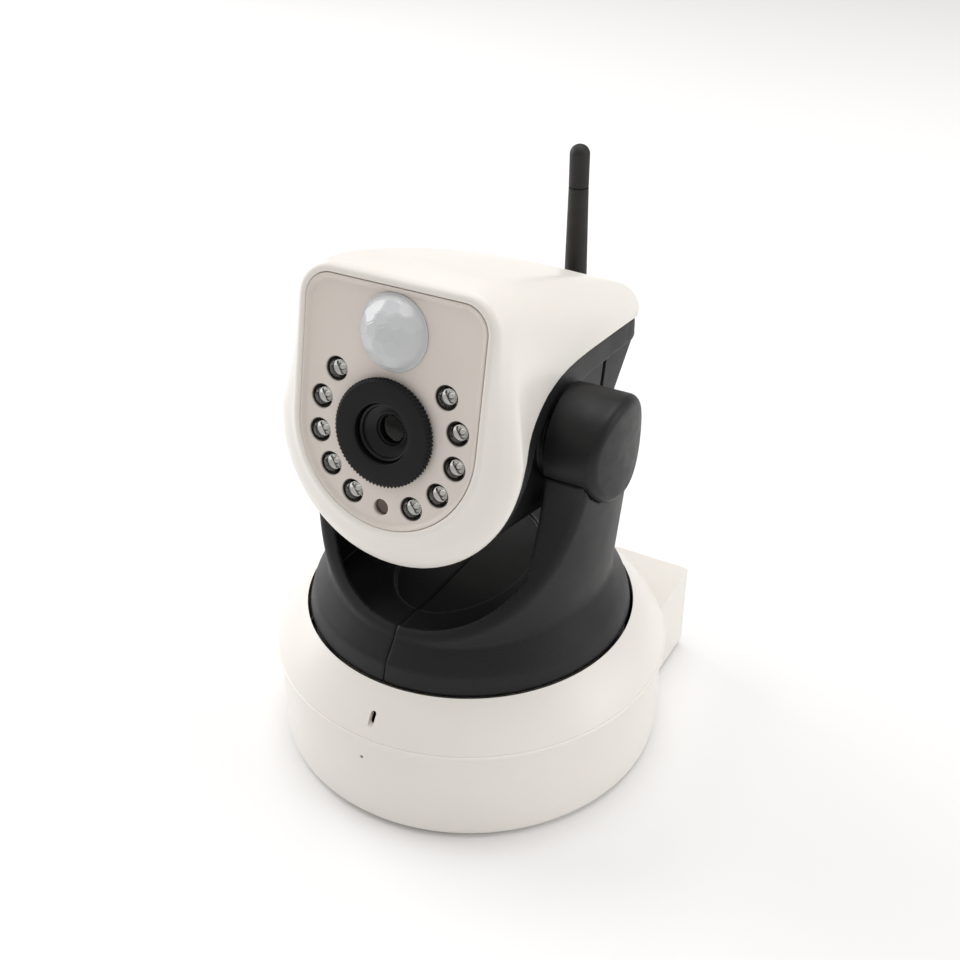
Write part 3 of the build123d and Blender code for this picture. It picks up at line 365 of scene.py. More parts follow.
BY_SLOT = {"white_shell": WHITE, "front_panel": PANEL, "black_body": BLACK, "black_drum": DRUM,
           "focus_black": FOCUS, "rubber": RUBBER, "connector_black": PLAIN_BLACK, "brass": BRASS,
           "steel": STEEL, "motor_case": MOTOR, "board": BOARD, "nylon": NYLON, "light_sensor": SENSOR,
           "sensor_can": STEEL, "lamp_clear": CLEAR_RESIN, "lens_glass": COATED_GLASS, "motion_lens": MILKY}

# how strongly each black surface mirrors its surroundings
for dark, level in ((FOCUS, 0.22), (DRUM, 0.34), (BLACK, 0.36), (BARREL_BLACK, 0.26), (RUBBER, 0.4)):
    for item in dark.node_tree.nodes:
        if item.type == "BSDF_PRINCIPLED":
            item.inputs["Specular IOR Level"].default_value = level

for row in frame["record"]["subparts"]:
    node = frame["nodes"][row["node"]]
    if not node.data.materials:
        node.data.materials.append(None)
    for index in range(len(node.data.materials)):
        node.data.materials[index] = BY_SLOT[row["material_slot"]]

# ================================================================ floor, light and camera
FLOOR_HALF = 6.0


def make_floor():
    """Plain pale floor, far larger than the view."""
    material, tree, shader = nodes_of("studio_floor")
    cloud = object_noise(tree, 1.5, 2.0)
    tone = ramp(tree, cloud, (0.90, 0.90, 0.90), (0.93, 0.93, 0.93), 0.3, 0.7)
    tree.links.new(tone, shader.inputs["Base Color"])
    shader.inputs["Roughness"].default_value = 0.7
    corners = [(-FLOOR_HALF, -FLOOR_HALF, 0), (FLOOR_HALF, -FLOOR_HALF, 0), (FLOOR_HALF, FLOOR_HALF, 0),
               (-FLOOR_HALF, FLOOR_HALF, 0)]
    mesh = bpy.data.meshes.new("floor")
    mesh.from_pydata(corners, [], [(0, 1, 2, 3)])
    floor = bpy.data.objects.new("floor", mesh)
    bpy.context.scene.collection.objects.link(floor)
    mesh.materials.append(material)


# name, place in metres, side in metres and power in watts of each soft box
SOFT_BOXES = (("top_light", (0.0, 0.2, 1.3), 1.0, 8.6),
              ("left_light", (-1.1, 0.1, 0.55), 0.9, 8.2),
              ("right_light", (1.1, 0.35, 0.6), 0.8, 3.9))
LIGHT_AIM = Vector((0, 0, 0.07))
SURROUND_COLOUR = (1.0, 0.975, 0.95, 1)
SURROUND_STRENGTH = 0.50


def soft_light(name, place, size, power):
    """Large square soft box aimed at the middle of the object."""
    lamp = bpy.data.lights.new(name, "AREA")
    lamp.size = size
    lamp.energy = power
    box = bpy.data.objects.new(name, lamp)
    box.location = place
    box.rotation_euler = (LIGHT_AIM - Vector(place)).to_track_quat("-Z", "Y").to_euler()
    bpy.context.scene.collection.objects.link(box)


def make_light():
    """Warm even surround with three soft boxes."""
    world = bpy.data.worlds.new("studio")
    world.use_nodes = True
    background = world.node_tree.nodes["Background"]
    background.inputs["Color"].default_value = SURROUND_COLOUR
    background.inputs["Strength"].default_value = SURROUND_STRENGTH
    bpy.context.scene.world = world
    for name, place, size, power in SOFT_BOXES:
        soft_light(name, place, size, power)


# degrees, then millimetres
CAMERA_AZIMUTH = 29.89
CAMERA_ELEVATION = 32.40
CAMERA_ROLL = -0.40
CAMERA_DISTANCE = 320.18
CAMERA_ASIDE = 2.74
CAMERA_AIM_Z = 73.33
CAMERA_LENS = 47.44


def make_camera():
    """Camera above and to the right of the front, looking down at the middle of the object."""
    azimuth, elevation, roll = (math.radians(a) for a in (CAMERA_AZIMUTH, CAMERA_ELEVATION, CAMERA_ROLL))
    right = Vector((math.cos(azimuth), math.sin(azimuth), 0))
    back = Vector((math.sin(azimuth) * math.cos(elevation), -math.cos(azimuth) * math.cos(elevation),
                   math.sin(elevation)))
    up = back.cross(right)
    place = Vector((0, 0, CAMERA_AIM_Z)) + right * CAMERA_ASIDE + back * CAMERA_DISTANCE
    turned_right = right * math.cos(roll) + up * math.sin(roll)
    turned_up = up * math.cos(roll) - right * math.sin(roll)
    data = bpy.data.cameras.new("camera")
    data.lens = CAMERA_LENS
    data.sensor_width = 36
    data.clip_start = 0.01
    camera = bpy.data.objects.new("camera", data)
    bpy.context.scene.collection.objects.link(camera)
    camera.matrix_world = Matrix([(turned_right[k], turned_up[k], back[k], place[k] * MM) for k in range(3)]
                                 + [(0, 0, 0, 1)])
    bpy.context.scene.camera = camera


make_floor()
make_light()
make_camera()
bpy.context.scene.view_settings.view_transform = "Standard"

# ================================================================ outline of the head
# depth, half width and its height, lowest point, half width at the top, top, corner radius, crown
LIP_STATIONS = (
    (1.6, 22.75, 0.0, -22.75, 22.75, 32.30, 6.1, 0.0),
    (-0.3, 22.78, 0.0, -22.78, 22.78, 32.33, 6.1, 0.0),
    (-0.8, 23.0, 0.0, -23.0, 23.0, 32.6, 6.3, 0.0),
    (-0.98, 23.6, 0.0, -23.6, 23.6, 33.15, 6.8, 0.0),
    (-0.85, 24.3, 0.0, -24.3, 24.2, 33.8, 7.4, 0.0),
    (-0.2, 25.3, -0.2, -25.5, 25.0, 34.5, 8.0, 0.0),
)
HOOD_STATIONS = (
    (2.0, 29.0, -1.0, -30.0, 25.6, 35.1, 9.0, 0.1),
    (4.5, 31.4, -1.6, -33.2, 26.0, 35.4, 9.6, 0.2),
    (8.0, 30.6, -1.8, -34.0, 26.2, 35.6, 10.0, 0.3),
    (14.0, 28.6, -2.0, -34.6, 26.4, 35.4, 10.0, 0.4),
    (22.0, 27.0, -2.0, -35.0, 26.5, 34.6, 10.0, 0.4),
    (34.0, 26.6, -2.0, -35.0, 26.5, 33.2, 10.0, 0.4),
    (48.0, 26.6, -2.0, -35.0, 26.5, 31.1, 9.6, 0.4),
    (60.0, 26.5, -2.0, -35.0, 26.4, 29.1, 8.5, 0.4),
    (69.0, 26.3, -2.0, -35.0, 26.2, 27.4, 6.8, 0.4),
    (74.5, 26.0, -2.0, -35.0, 25.9, 25.7, 5.6, 0.3),
    (76.6, 25.2, -2.0, -35.0, 25.1, 24.0, 4.6, 0.2),
    (77.3, 23.9, -2.0, -35.0, 23.8, 22.0, 3.6, 0.1),
    (77.4, 21.9, -2.0, -35.0, 21.8, 19.6, 2.4, 0.0),
)
STATIONS = np.array(LIP_STATIONS + HOOD_STATIONS)
CHORDS = np.linalg.norm(np.diff(STATIONS[:, [0, 1, 5]], axis=0), axis=1)
STATION_PATH = np.concatenate([[0], np.cumsum(CHORDS)])
# longitudes of the half section: lower arc, side, corner, top
LOWER, SIDE, CORNER, CROWN = 30, 16, 10, 12
HALF_SECTION = LOWER + SIDE + CORNER + CROWN + 1


def smooth_curve(knots, values, at):
    """Smooth curve through values at their knots, by cubic pieces with averaged slopes."""
    knots = np.asarray(knots, float)
    values = np.asarray(values, float)
    gaps = np.diff(knots)
    shape = (-1,) + (1,) * (values.ndim - 1)
    slopes = np.diff(values, axis=0) / gaps.reshape(shape)
    ahead, behind = gaps[1:].reshape(shape), gaps[:-1].reshape(shape)
    middle = (slopes[1:] * behind + slopes[:-1] * ahead) / (ahead + behind)
    tangents = np.concatenate([slopes[:1], middle, slopes[-1:]])
    at = np.clip(at, knots[0], knots[-1])
    piece = np.clip(np.searchsorted(knots, at, side="right") - 1, 0, len(gaps) - 1)
    gap = gaps[piece]
    u = (at - knots[piece]) / gap
    extra = (1,) * (values.ndim - 1)
    u, gap = u.reshape(u.shape + extra), gap.reshape(gap.shape + extra)
    start, end = values[piece], values[piece + 1]
    return (start * (2 * u ** 3 - 3 * u ** 2 + 1) + tangents[piece] * gap * (u ** 3 - 2 * u ** 2 + u)
            + end * (3 * u ** 2 - 2 * u ** 3) + tangents[piece + 1] * gap * (u ** 3 - u ** 2))


def half_section(wide, level, low, wide_top, top, corner, crown):
    """Half of a section of the head from its lowest point round to the middle of its top, as x and height.

    Each argument is a column of values, one row for each section.
    """
    sag = level - low
    radius = (wide ** 2 + sag ** 2) / (2 * sag)
    centre = low + radius
    sweep = np.arctan2(wide, centre - level)
    part = np.arange(LOWER) / LOWER
    xs = [radius * np.sin(part * sweep)]
    heights = [centre - radius * np.cos(part * sweep)]
    part = np.arange(SIDE) / SIDE
    xs.append(wide + (wide_top - wide) * part)
    heights.append(level + (top - corner - level) * part)
    part = np.arange(CORNER) / CORNER * math.pi / 2
    xs.append(wide_top - corner + corner * np.cos(part))
    heights.append(top - corner + corner * np.sin(part))
    part = np.arange(CROWN + 1) / CROWN
    xs.append((wide_top - corner) * (1 - part))
    heights.append(top + crown * (1 - np.cos(math.pi * part)) / 2)
    return np.concatenate(xs, axis=-1), np.concatenate(heights, axis=-1)


def full_ring(half, sign=1):
    """A whole ring of values from those of its right half; x changes sign on the left."""
    return np.concatenate([half, sign * half[..., -2:0:-1]], axis=-1)


def sections_at(path):
    """Rings of x, depth and height at places along the path of stations; path is rows by longitudes."""
    values = smooth_curve(STATION_PATH, STATIONS, path)
    x = np.empty(path.shape)
    height = np.empty(path.shape)
    for j in range(HALF_SECTION):
        column = values[:, j, 1:, None]
        xs, heights = half_section(*[column[:, k] for k in range(7)])
        x[:, j], height[:, j] = xs[:, j], heights[:, j]
    return x, values[:, :, 0], height


# the white shell's lower edge seen from the side, as (height, depth)
EDGE_CURVE = np.array(((-60, 5.4), (-26, 5.4), (-20, 5.5), (-13, 5.7), (-7.5, 6.2), (-3.5, 7.8), (-0.3, 11.4),
                       (4.0, 16.4), (7.3, 20.8), (11.0, 26.8), (13.9, 34.8), (15.6, 43.8), (17.2, 57.0),
                       (18.2, 66.0), (19.0, 76.0), (19.6, 84.0), (24.0, 150.0)))


def edge_depth(height):
    """Depth of the white shell's lower edge at a height."""
    return smooth_curve(EDGE_CURVE[:, 0], EDGE_CURVE[:, 1], height)


SHELL_T = 1.6
LIP_ROWS, FLARE_ROWS, HOOD_ROWS = 18, 10, 46
FIRST_INNER_ROW = LIP_ROWS + 3
MIDDLE_ROW = 40
RIM_STEPS = 8
RIM_BULGE = 0.5
FINE_STEPS = 500
LEAST_HOOD = 0.3


def head_shell_mesh():
    """White front shell: rounded lip round the panel, flared mask and deep hood, ending on a curved edge."""
    lip_end = STATION_PATH[len(LIP_STATIONS) - 1]
    flare_end = STATION_PATH[len(LIP_STATIONS) + 1]
    fine = np.linspace(flare_end, STATION_PATH[-1], FINE_STEPS)
    x, depth, height = sections_at(np.repeat(fine[:, None], HALF_SECTION, axis=1))
    past = depth > edge_depth(height)
    past[-1] = True
    first = past.argmax(axis=0)
    columns = np.arange(HALF_SECTION)
    before = np.maximum(first - 1, 0)
    gap = edge_depth(height) - depth
    a, b = gap[before, columns], gap[first, columns]
    share = np.where(a > b, np.clip(a / np.where(a == b, 1, a - b), 0, 1), 1)
    share = np.where(first == 0, 0, share)
    last = fine[before] + (fine[first] - fine[before]) * share
    last = np.maximum(last, flare_end + LEAST_HOOD)
    start = np.concatenate([np.linspace(0, lip_end, LIP_ROWS, endpoint=False),
                            np.linspace(lip_end, flare_end, FLARE_ROWS, endpoint=False)])
    part = np.linspace(0, 1, HOOD_ROWS)[:, None]
    fixed = np.repeat(start[:, None], HALF_SECTION, axis=1)
    path = np.concatenate([fixed, flare_end + part * (last - flare_end)])
    x, depth, height = sections_at(path)
    outer = np.stack([full_ring(x, -1), full_ring(depth), full_ring(height)], axis=-1)
    along = np.gradient(outer, axis=0)
    around = np.roll(outer, -1, axis=1) - np.roll(outer, 1, axis=1)
    normal = np.cross(around, along)
    normal /= np.maximum(np.linalg.norm(normal, axis=-1, keepdims=True), 1e-9)
    outward = outer[MIDDLE_ROW] - outer[MIDDLE_ROW].mean(axis=0)
    if (normal[MIDDLE_ROW] * outward).sum() < 0:
        normal = -normal
    side = np.cross(around[-1], normal[-1])
    side /= np.maximum(np.linalg.norm(side, axis=-1, keepdims=True), 1e-9)
    side *= np.sign((side * along[-1]).sum(axis=-1, keepdims=True))
    half_t = SHELL_T / 2
    rim = []
    for step in range(1, RIM_STEPS):
        turn = math.pi * step / RIM_STEPS
        rim.append(outer[-1] + normal[-1] * half_t * (math.cos(turn) - 1) + side * RIM_BULGE * math.sin(turn))
    inner = (outer - SHELL_T * normal)[:FIRST_INNER_ROW - 1:-1]
    points = np.concatenate([outer, np.array(rim), inner])
    world = head_point(points[..., 0], points[..., 1], points[..., 2])
    return grid_mesh("head_shell", world, wrap_rows=True)


# ================================================================ front panel
PANEL_GAP = 0.05
PANEL_T = 2.0
# edge of the panel as (distance in from its outline, depth)
PANEL_EDGE = ((0.0, PANEL_T), (0.0, -0.55), (0.06, -0.78), (0.22, -0.88), (0.5, -0.76), (0.8, -0.45),
              (1.1, -0.16), (1.35, -0.03), (1.5, 0.0))
PANEL_HALF, PANEL_TOP, PANEL_CORNER = 22.75, 32.3, 6.1
# rounded mouth of a hole in the panel as (distance out from the hole, depth)
MOUTH = ((0.35, 0.0), (0.17, 0.02), (0.05, 0.10), (0, 0.28), (0, PANEL_T))
LED_RING_R = 18.0
LED_PLACES = 14
LED_STEPS = (1.5, 0.5, -0.5, -1.5, -2.5)
LED_HOLE_R = 2.8
SENSOR_HOLE_R = 1.9
PIR_HEIGHT = 22.5
PIR_HOLE_R = 8.15
LENS_HOLE_R = 7.7


def led_places():
    """Places of the ten lamps, as x and height."""
    right = [math.radians(360 / LED_PLACES * step) for step in LED_STEPS]
    angles = right + [math.pi - a for a in right]
    return [(LED_RING_R * math.cos(a), LED_RING_R * math.sin(a)) for a in angles]


def panel_ring(inset, depth):
    """One ring of the panel's outline, drawn in by an inset."""
    side = np.array([[PANEL_HALF - PANEL_GAP - inset]])
    top = PANEL_TOP - PANEL_GAP - inset
    corner = max(PANEL_CORNER - PANEL_GAP - inset, 0.5)
    x, height = half_section(side, 0 * side, -side, side, side * 0 + top, side * 0 + corner, side * 0)
    x, height = full_ring(x, -1)[0], full_ring(height)[0]
    return [tuple(p) for p in np.stack([x, np.full_like(x, depth), height], axis=-1)]


def add_loop(work, points):
    """New points of a mesh in the making, from places in the head's frame."""
    return [work.verts.new(head_point(*p)) for p in points]


def bridge(work, first, second):
    """Quads between two loops of the same length."""
    count = len(first)
    for k in range(count):
        work.faces.new((first[k], first[(k + 1) % count], second[(k + 1) % count], second[k]))


def fill_between(work, loops):
    """Flat face inside the first loop and outside the others."""
    edges = []
    for loop in loops:
        for k in range(len(loop)):
            pair = (loop[k], loop[(k + 1) % len(loop)])
            edges.append(work.edges.get(pair) or work.edges.new(pair))
    bmesh.ops.triangle_fill(work, use_beauty=True, edges=edges)


def circle(x, height, radius, depth, count):
    """Points of a circle that faces the front."""
    turns = [2 * math.pi * k / count for k in range(count)]
    return [(x + radius * math.cos(t), depth, height + radius * math.sin(t)) for t in turns]


def panel_mesh():
    """Pale panel with a raised soft edge and rounded holes for lamps, sensors and lens."""
    work = bmesh.new()
    rings = [add_loop(work, panel_ring(inset, depth)) for inset, depth in PANEL_EDGE]
    for first, second in zip(rings, rings[1:]):
        bridge(work, first, second)
    holes = [(x, v, LED_HOLE_R, 32) for x, v in led_places()]
    holes += [(0, -LED_RING_R, SENSOR_HOLE_R, 24), (0, PIR_HEIGHT, PIR_HOLE_R, 64), (0, 0, LENS_HOLE_R, 64)]
    front = [rings[-1]]
    back = [rings[0]]
    for x, v, radius, count in holes:
        loops = [add_loop(work, circle(x, v, radius + out, depth, count)) for out, depth in MOUTH]
        for first, second in zip(loops, loops[1:]):
            bridge(work, first, second)
        front.append(loops[0])
        back.append(loops[-1])
    fill_between(work, front)
    fill_between(work, back)
    bmesh.ops.recalc_face_normals(work, faces=work.faces)
    mesh = bpy.data.meshes.new("panel")
    work.to_mesh(mesh)
    work.free()
    return mesh


# ================================================================ lamps and sensors
def at_head(x0, height0):
    """Placing function for shapes turned about a line parallel to the lens axis."""
    return lambda x, depth, height: head_point(x + x0, depth, height + height0)


# outlines of a lamp's pieces as (radius, depth)
LED_R, LED_CENTRE = 2.5, 1.62
LED_DOME = ([(0.0, LED_CENTRE - LED_R)]
            + [(LED_R * math.sin(math.radians(a)), LED_CENTRE - LED_R * math.cos(math.radians(a)))
               for a in (6, 14, 24, 34, 44, 54, 64, 74, 84)]
            + [(LED_R, LED_CENTRE), (LED_R, 6.6), (2.3, 6.9), (0.0, 6.9)])
LED_CUP = [(0.0, 2.75), (0.3, 2.7), (0.72, 2.3), (1.08, 1.75), (1.2, 1.75), (1.22, 1.9), (1.22, 5.9),
           (0.0, 5.9)]
# the next two outlines are dark pieces of painted shade, inside the lamp and in the gap round it
LED_SHADE_CORE = [(0.0, 3.4), (1.24, 3.3), (1.28, 1.95), (2.0, 1.85), (2.42, 1.7), (2.42, 5.6), (0.0, 5.6)]
LED_SHADE_SLEEVE = ((2.53, 0.42), (2.6, 0.35), (2.72, 0.35), (2.74, 0.42), (2.74, 5.6), (2.53, 5.6))
LED_POST = [(0.0, 1.35), (0.15, 1.38), (0.24, 1.55), (0.24, 5.8), (0.0, 5.8)]
LED_CHIP = [(0.0, 3.1), (0.26, 3.1), (0.3, 3.16), (0.3, 3.4), (0.0, 3.4)]
POST_X, POST_HEIGHT = 1.5, -0.9


def lamp_parts(name, profile, segments, material):
    """The same turned piece in all the lamps, as one piece."""
    meshes = [turned_mesh(name, profile, at_head(x, v), segments) for x, v in led_places()]
    return link(name, join_meshes(name, meshes), material, "head")


def painted_lamp_shade():
    """Painted shade: dark pieces inside every lamp and a dark sleeve round it, coloured to stand for the shade in
    the lamp holes.
    """
    meshes = [turned_mesh("painted_shade_core", LED_SHADE_CORE, at_head(x, v), 28) for x, v in led_places()]
    for x, v in led_places():
        meshes.append(grid_mesh("sleeve", turned_points(LED_SHADE_SLEEVE, at_head(x, v), 28), wrap_rows=True))
    return join_meshes("ir_lamp_painted_shade", meshes)


def lamp_bonds():
    """The chip and the post beside it in every lamp."""
    meshes = []
    for x, v in led_places():
        meshes.append(turned_mesh("post", LED_POST, at_head(x + POST_X, v + POST_HEIGHT), 16))
        meshes.append(turned_mesh("chip", LED_CHIP, at_head(x, v), 8))
    return join_meshes("ir_lamp_posts", meshes)


PIR_R = 8.6
PIR_NECK = 8.05
PIR_RISE = 4.6
PIR_WALL = 0.9
PIR_FOOT = -0.55
PIR_CELL = 3.3
FACET_LEAN = 0.03
GROOVE_CUT, GROOVE_WIDTH = 0.10, 0.06
PIR_BLEND = 0.8
PIR_RINGS, PIR_SPOKES, PIR_INNER_RINGS = 84, 252, 8
# flange and inner wall as (radius, depth)
PIR_FLANGE = ((PIR_NECK + 0.12, -0.5), (PIR_R - 0.15, -0.5), (PIR_R, -0.35), (PIR_R, -0.05), (PIR_NECK, 0.0),
              (PIR_NECK, 3.4), (PIR_NECK - PIR_WALL, 3.4), (PIR_NECK - PIR_WALL, -0.5))


def facet_places(sphere_r):
    """Middles of the hexagonal facets, on a honeycomb of x and height."""
    places = [(PIR_CELL * (i + 0.5 * j + 0.25), PIR_CELL * 0.866 * j + 0.4)
              for i in range(-5, 6) for j in range(-4, 5)]
    return [p for p in places if math.hypot(*p) < sphere_r * 0.93]


def facet_rise(x, v, sphere_r):
    """Height of the facets over the middle of their sphere, with a fine groove between neighbours."""
    planes = []
    for k, (px, pv) in enumerate(facet_places(sphere_r)):
        pz = math.sqrt(sphere_r ** 2 - px ** 2 - pv ** 2)
        lean_x, lean_v = FACET_LEAN * (k * 7 % 5 - 2), FACET_LEAN * (k * 3 % 5 - 2)
        planes.append(pz - (x - px) * (px / pz + lean_x) - (v - pv) * (pv / pz + lean_v))
    planes = np.partition(np.array(planes), 1, axis=0)
    return planes[0] - GROOVE_CUT * np.exp(-((planes[1] - planes[0]) / GROOVE_WIDTH) ** 2)


def pir_mesh():
    """Milky dome whose surface is made of hexagonal facets, with a thin flange and an inner face."""
    sphere_r = (PIR_NECK ** 2 + PIR_RISE ** 2) / (2 * PIR_RISE)
    centre = PIR_RISE - sphere_r
    radius = PIR_NECK * (np.arange(PIR_RINGS + 1) / PIR_RINGS)[:, None]
    turn = np.arange(PIR_SPOKES) * 2 * math.pi / PIR_SPOKES
    x, v = radius * np.cos(turn), radius * np.sin(turn)
    blend = np.clip((PIR_NECK - radius) / PIR_BLEND, 0, 1)
    smooth = np.sqrt(np.maximum(sphere_r ** 2 - radius ** 2, 0)) + 0 * x
    rise = centre + smooth + (facet_rise(x, v, sphere_r) - smooth) * blend
    rise = np.minimum(rise, PIR_RISE + 0.05)
    outside = np.stack([x, PIR_FOOT - rise, v], axis=-1)
    skirt = np.array([[(r * math.cos(t), depth, r * math.sin(t)) for t in turn] for r, depth in PIR_FLANGE])
    inner_part = 1 - np.arange(1, PIR_INNER_RINGS + 1) / PIR_INNER_RINGS
    inner_r = (PIR_NECK - PIR_WALL) * inner_part[:, None]
    inner_rise = centre + np.sqrt((sphere_r - PIR_WALL) ** 2 - inner_r ** 2)
    inner = np.stack([inner_r * np.cos(turn), PIR_FOOT - inner_rise + 0 * turn, inner_r * np.sin(turn)], axis=-1)
    points = np.concatenate([outside, skirt, inner])
    world = head_point(points[..., 0], points[..., 1], points[..., 2] + PIR_HEIGHT)
    return grid_mesh("motion_sensor_lens", world)


# ================================================================ lens
RING_R = 12.44
RING_FRONT = -2.35
KNURLS = 80
KNURL_DEPTH = 0.58
KNURL_STEPS = 8
KNURL_SLANT = 0.42
KNURL_SHARPNESS = 0.8
# outline of the ring as (radius, depth, share of the knurls' depth)
RING_PROFILE = ((6.87, -0.28, 0), (6.87, -2.06, 0), (6.93, -2.22, 0), (7.06, -2.32, 0), (7.25, RING_FRONT, 0),
                (9.0, RING_FRONT, 0), (11.3, RING_FRONT, 0), (11.62, -2.34, 0.15), (11.85, -2.27, 0.45),
                (12.06, -2.12, 0.8), (12.24, -1.95, 1), (RING_R, -1.72, 1), (RING_R, -1.40, 1),
                (RING_R, -1.05, 1), (RING_R, -0.75, 1), (12.3, -0.5, 0.9), (12.0, -0.32, 0.4), (11.6, -0.28, 0))


def focus_ring_mesh():
    """Ring with slanted, rounded ridges round its edge and a chamfered bore."""
    turn = np.arange(KNURLS * KNURL_STEPS) * 2 * math.pi / (KNURLS * KNURL_STEPS)
    rows = []
    for radius, depth, share in RING_PROFILE:
        slant = (depth - RING_FRONT) * KNURL_SLANT / RING_R
        wave = np.abs(np.cos((turn + slant) * KNURLS / 2)) ** KNURL_SHARPNESS
        r = radius - KNURL_DEPTH * share * (1 - wave)
        rows.append(np.stack([r * np.cos(turn), np.full_like(turn, depth), r * np.sin(turn)], axis=-1))
    points = np.array(rows)
    return grid_mesh("focus_ring", head_point(points[..., 0], points[..., 1], points[..., 2]), wrap_rows=True)


# outlines in the lens as (radius, depth)
LENS_BORE = 3.3
GLASS_R = 3.28
BARREL = ((6.75, 17.3), (6.75, -0.6), (6.62, -0.8), (6.35, -0.85), (6.05, -0.78), (5.95, -0.6), (5.95, 0.4),
          (5.7, 0.55), (5.5, 0.62), (4.05, 1.55), (3.95, 1.62), (3.82, 1.6), (3.7, 1.7), (3.62, 2.2),
          (3.45, 2.35), (LENS_BORE, 2.4), (LENS_BORE, 17.3))
FRONT_ELEMENT = ([(0.0, 2.05)] + [(GLASS_R * k / 8, 2.05 + 0.42 * (k / 8) ** 2) for k in range(1, 9)]
                 + [(GLASS_R, 4.6), (2.6, 4.7), (1.3, 4.4), (0.0, 4.3)])
REAR_ELEMENT = [(0.0, 7.6), (0.8, 7.7), (1.6, 8.0), (2.4, 8.5), (2.4, 9.6), (0.0, 9.6)]
LENS_CELL = ((GLASS_R, 5.0), (3.0, 5.05), (2.9, 5.2), (2.75, 5.25), (2.0, 5.6), (1.9, 5.75), (1.9, 7.2),
             (GLASS_R, 7.2))


def lens_ring(name, profile):
    """Closed black ring about the lens axis, from a closed outline."""
    return link(name, grid_mesh(name, turned_points(profile, at_head(0, 0)), wrap_rows=True), BARREL_BLACK,
                "focus")


def lens_glass(name, profile):
    """Glass element on the lens axis."""
    return link(name, turned_mesh(name, profile, at_head(0, 0)), COATED_GLASS, "focus")


# ================================================================ yoke
TILT_AXIS_Y = JOINTS["tilt"]["pos_m"][1] / MM
TILT_AXIS_Z = JOINTS["tilt"]["pos_m"][2] / MM
DRUM_R = 13.0
# radius and height where the skirt starts and ends, and the height in which it widens by their difference
SKIRT_FOOT, SKIRT_TOP = (42.4, 38.6), (41.2, 43.9)
SKIRT_FALL = 4.5
TOWER_R, TOWER_FLARE, TOWER_Z = 37.2, 0.09, 52.3
CREASE_FRONT, CREASE_SIDE = 48.4, 52.5
ARM_FRONT, ARM_REAR = -13.3, 11.3
SLOPE = math.radians(30)
SCOOP_Z, SCOOP_R = 63.7, 24.0
CAVITY_R, CAVITY_HALF, CAVITY_Z = 34.4, 27.4, 50.2
WELL_HALF_X, WELL_HALF_Y, WELL_Z = 16, 26, 49.2
YOKE_WALL = 2.2
SEAM = 0.05
SKIRT_ROUND, TOWER_ROUND, ARM_ROUND, CAVITY_ROUND, FOOT_ROUND, SEAM_ROUND = 0.35, 0.5, 1.5, 0.9, 0.4, 0.3
FIELD_STEP = 0.55
YOKE_BOX = (0, -43, 38), (43, 43, 98)


def yoke_outside(x, y, z):
    """Distance field of the upright band, the cone and the flaring tower."""
    radius = np.hypot(x, y)
    sideways = np.abs(x) / np.maximum(radius, 1e-6)
    crease = CREASE_FRONT + (CREASE_SIDE - CREASE_FRONT) * sideways ** 3
    band = radius - (SKIRT_TOP[0] + (SKIRT_FOOT[0] - SKIRT_TOP[0]) * (SKIRT_TOP[1] - z) / SKIRT_FALL)
    fall = (SKIRT_TOP[0] - TOWER_R) / (crease - SKIRT_TOP[1])
    cone = (radius - SKIRT_TOP[0] + fall * (z - SKIRT_TOP[1])) / np.sqrt(1 + fall ** 2)
    tower = radius - TOWER_R - TOWER_FLARE * (z - TOWER_Z)
    return -round_max(-round_max(band, cone, SKIRT_ROUND), -tower, TOWER_ROUND)


def scoop_field(y, z):
    """Field of the space before the arms, below zero where it is open."""
    over = -(z - SCOOP_Z - (y - ARM_FRONT) * math.tan(SLOPE)) * math.cos(SLOPE)
    return round_max(over, y - ARM_FRONT, SCOOP_R)


def yoke_form(x, y, z):
    """The yoke's outer form, open below, with rounded edges."""
    form = yoke_outside(x, y, z)
    form = round_max(form, -scoop_field(y, z), ARM_ROUND)
    form = round_max(form, -scoop_field(ARM_FRONT + ARM_REAR - y, z), ARM_ROUND)
    room = np.maximum(np.maximum(np.hypot(x, y) - CAVITY_R, np.abs(x) - CAVITY_HALF), CAVITY_Z - z)
    form = round_max(form, -room, CAVITY_ROUND)
    drum = np.hypot(y - TILT_AXIS_Y, z - TILT_AXIS_Z) - DRUM_R
    return np.maximum(np.maximum(form, -drum), z - TILT_AXIS_Z - 2)


def yoke_field(x, y, z):
    """Thin-walled right half of the yoke."""
    form = yoke_form(x, y, z)
    shell = np.maximum(form, -(form + YOKE_WALL))
    well = np.maximum(np.hypot(x / WELL_HALF_X, y / WELL_HALF_Y) * WELL_HALF_X - WELL_HALF_X, WELL_Z - z)
    shell = np.maximum(shell, -well)
    shell = round_max(shell, SKIRT_FOOT[1] - z, FOOT_ROUND)
    return round_max(shell, SEAM - x, SEAM_ROUND)


def mirrored(mesh, name):
    """Copy of a mesh mirrored across the plane X = 0."""
    copy = mesh.copy()
    copy.name = name
    copy.transform(Matrix.Diagonal((-1, 1, 1, 1)))
    copy.flip_normals()
    return copy


def in_world(x, y, z):
    """World places, in metres, of points given in millimetres."""
    return np.stack([x, y, z], axis=-1) * MM


# ================================================================ rear cover
COVER_STEP = 0.3
COVER_HALF = 24.6
COVER_WALL = 2.0
COVER_GAP = 0.12
COVER_BOX = (-33, 4, -38), (33, 79, 24)
SWEEP_R = 43.4
# leaning rear face: depth and height of its foot, its lean, and the depth where it ends
REAR_DEPTH, REAR_HEIGHT, REAR_LEAN, REAR_END = 69.5, 0.2, 0.607, 77.0
# lower edge of the raised band as (depth, height), and the depth where the recess below it starts
BAND_LOW = np.array(((10, -20), (14, -12), (18, -5), (22, -0.5), (26, 2.6), (31, 5.2), (37, 7.0), (44.3, 8.5),
                     (48, 9.3), (60, 10.9), (72.3, 12.3), (76, 13.0), (90, 15.0)))
BAND_START = 14
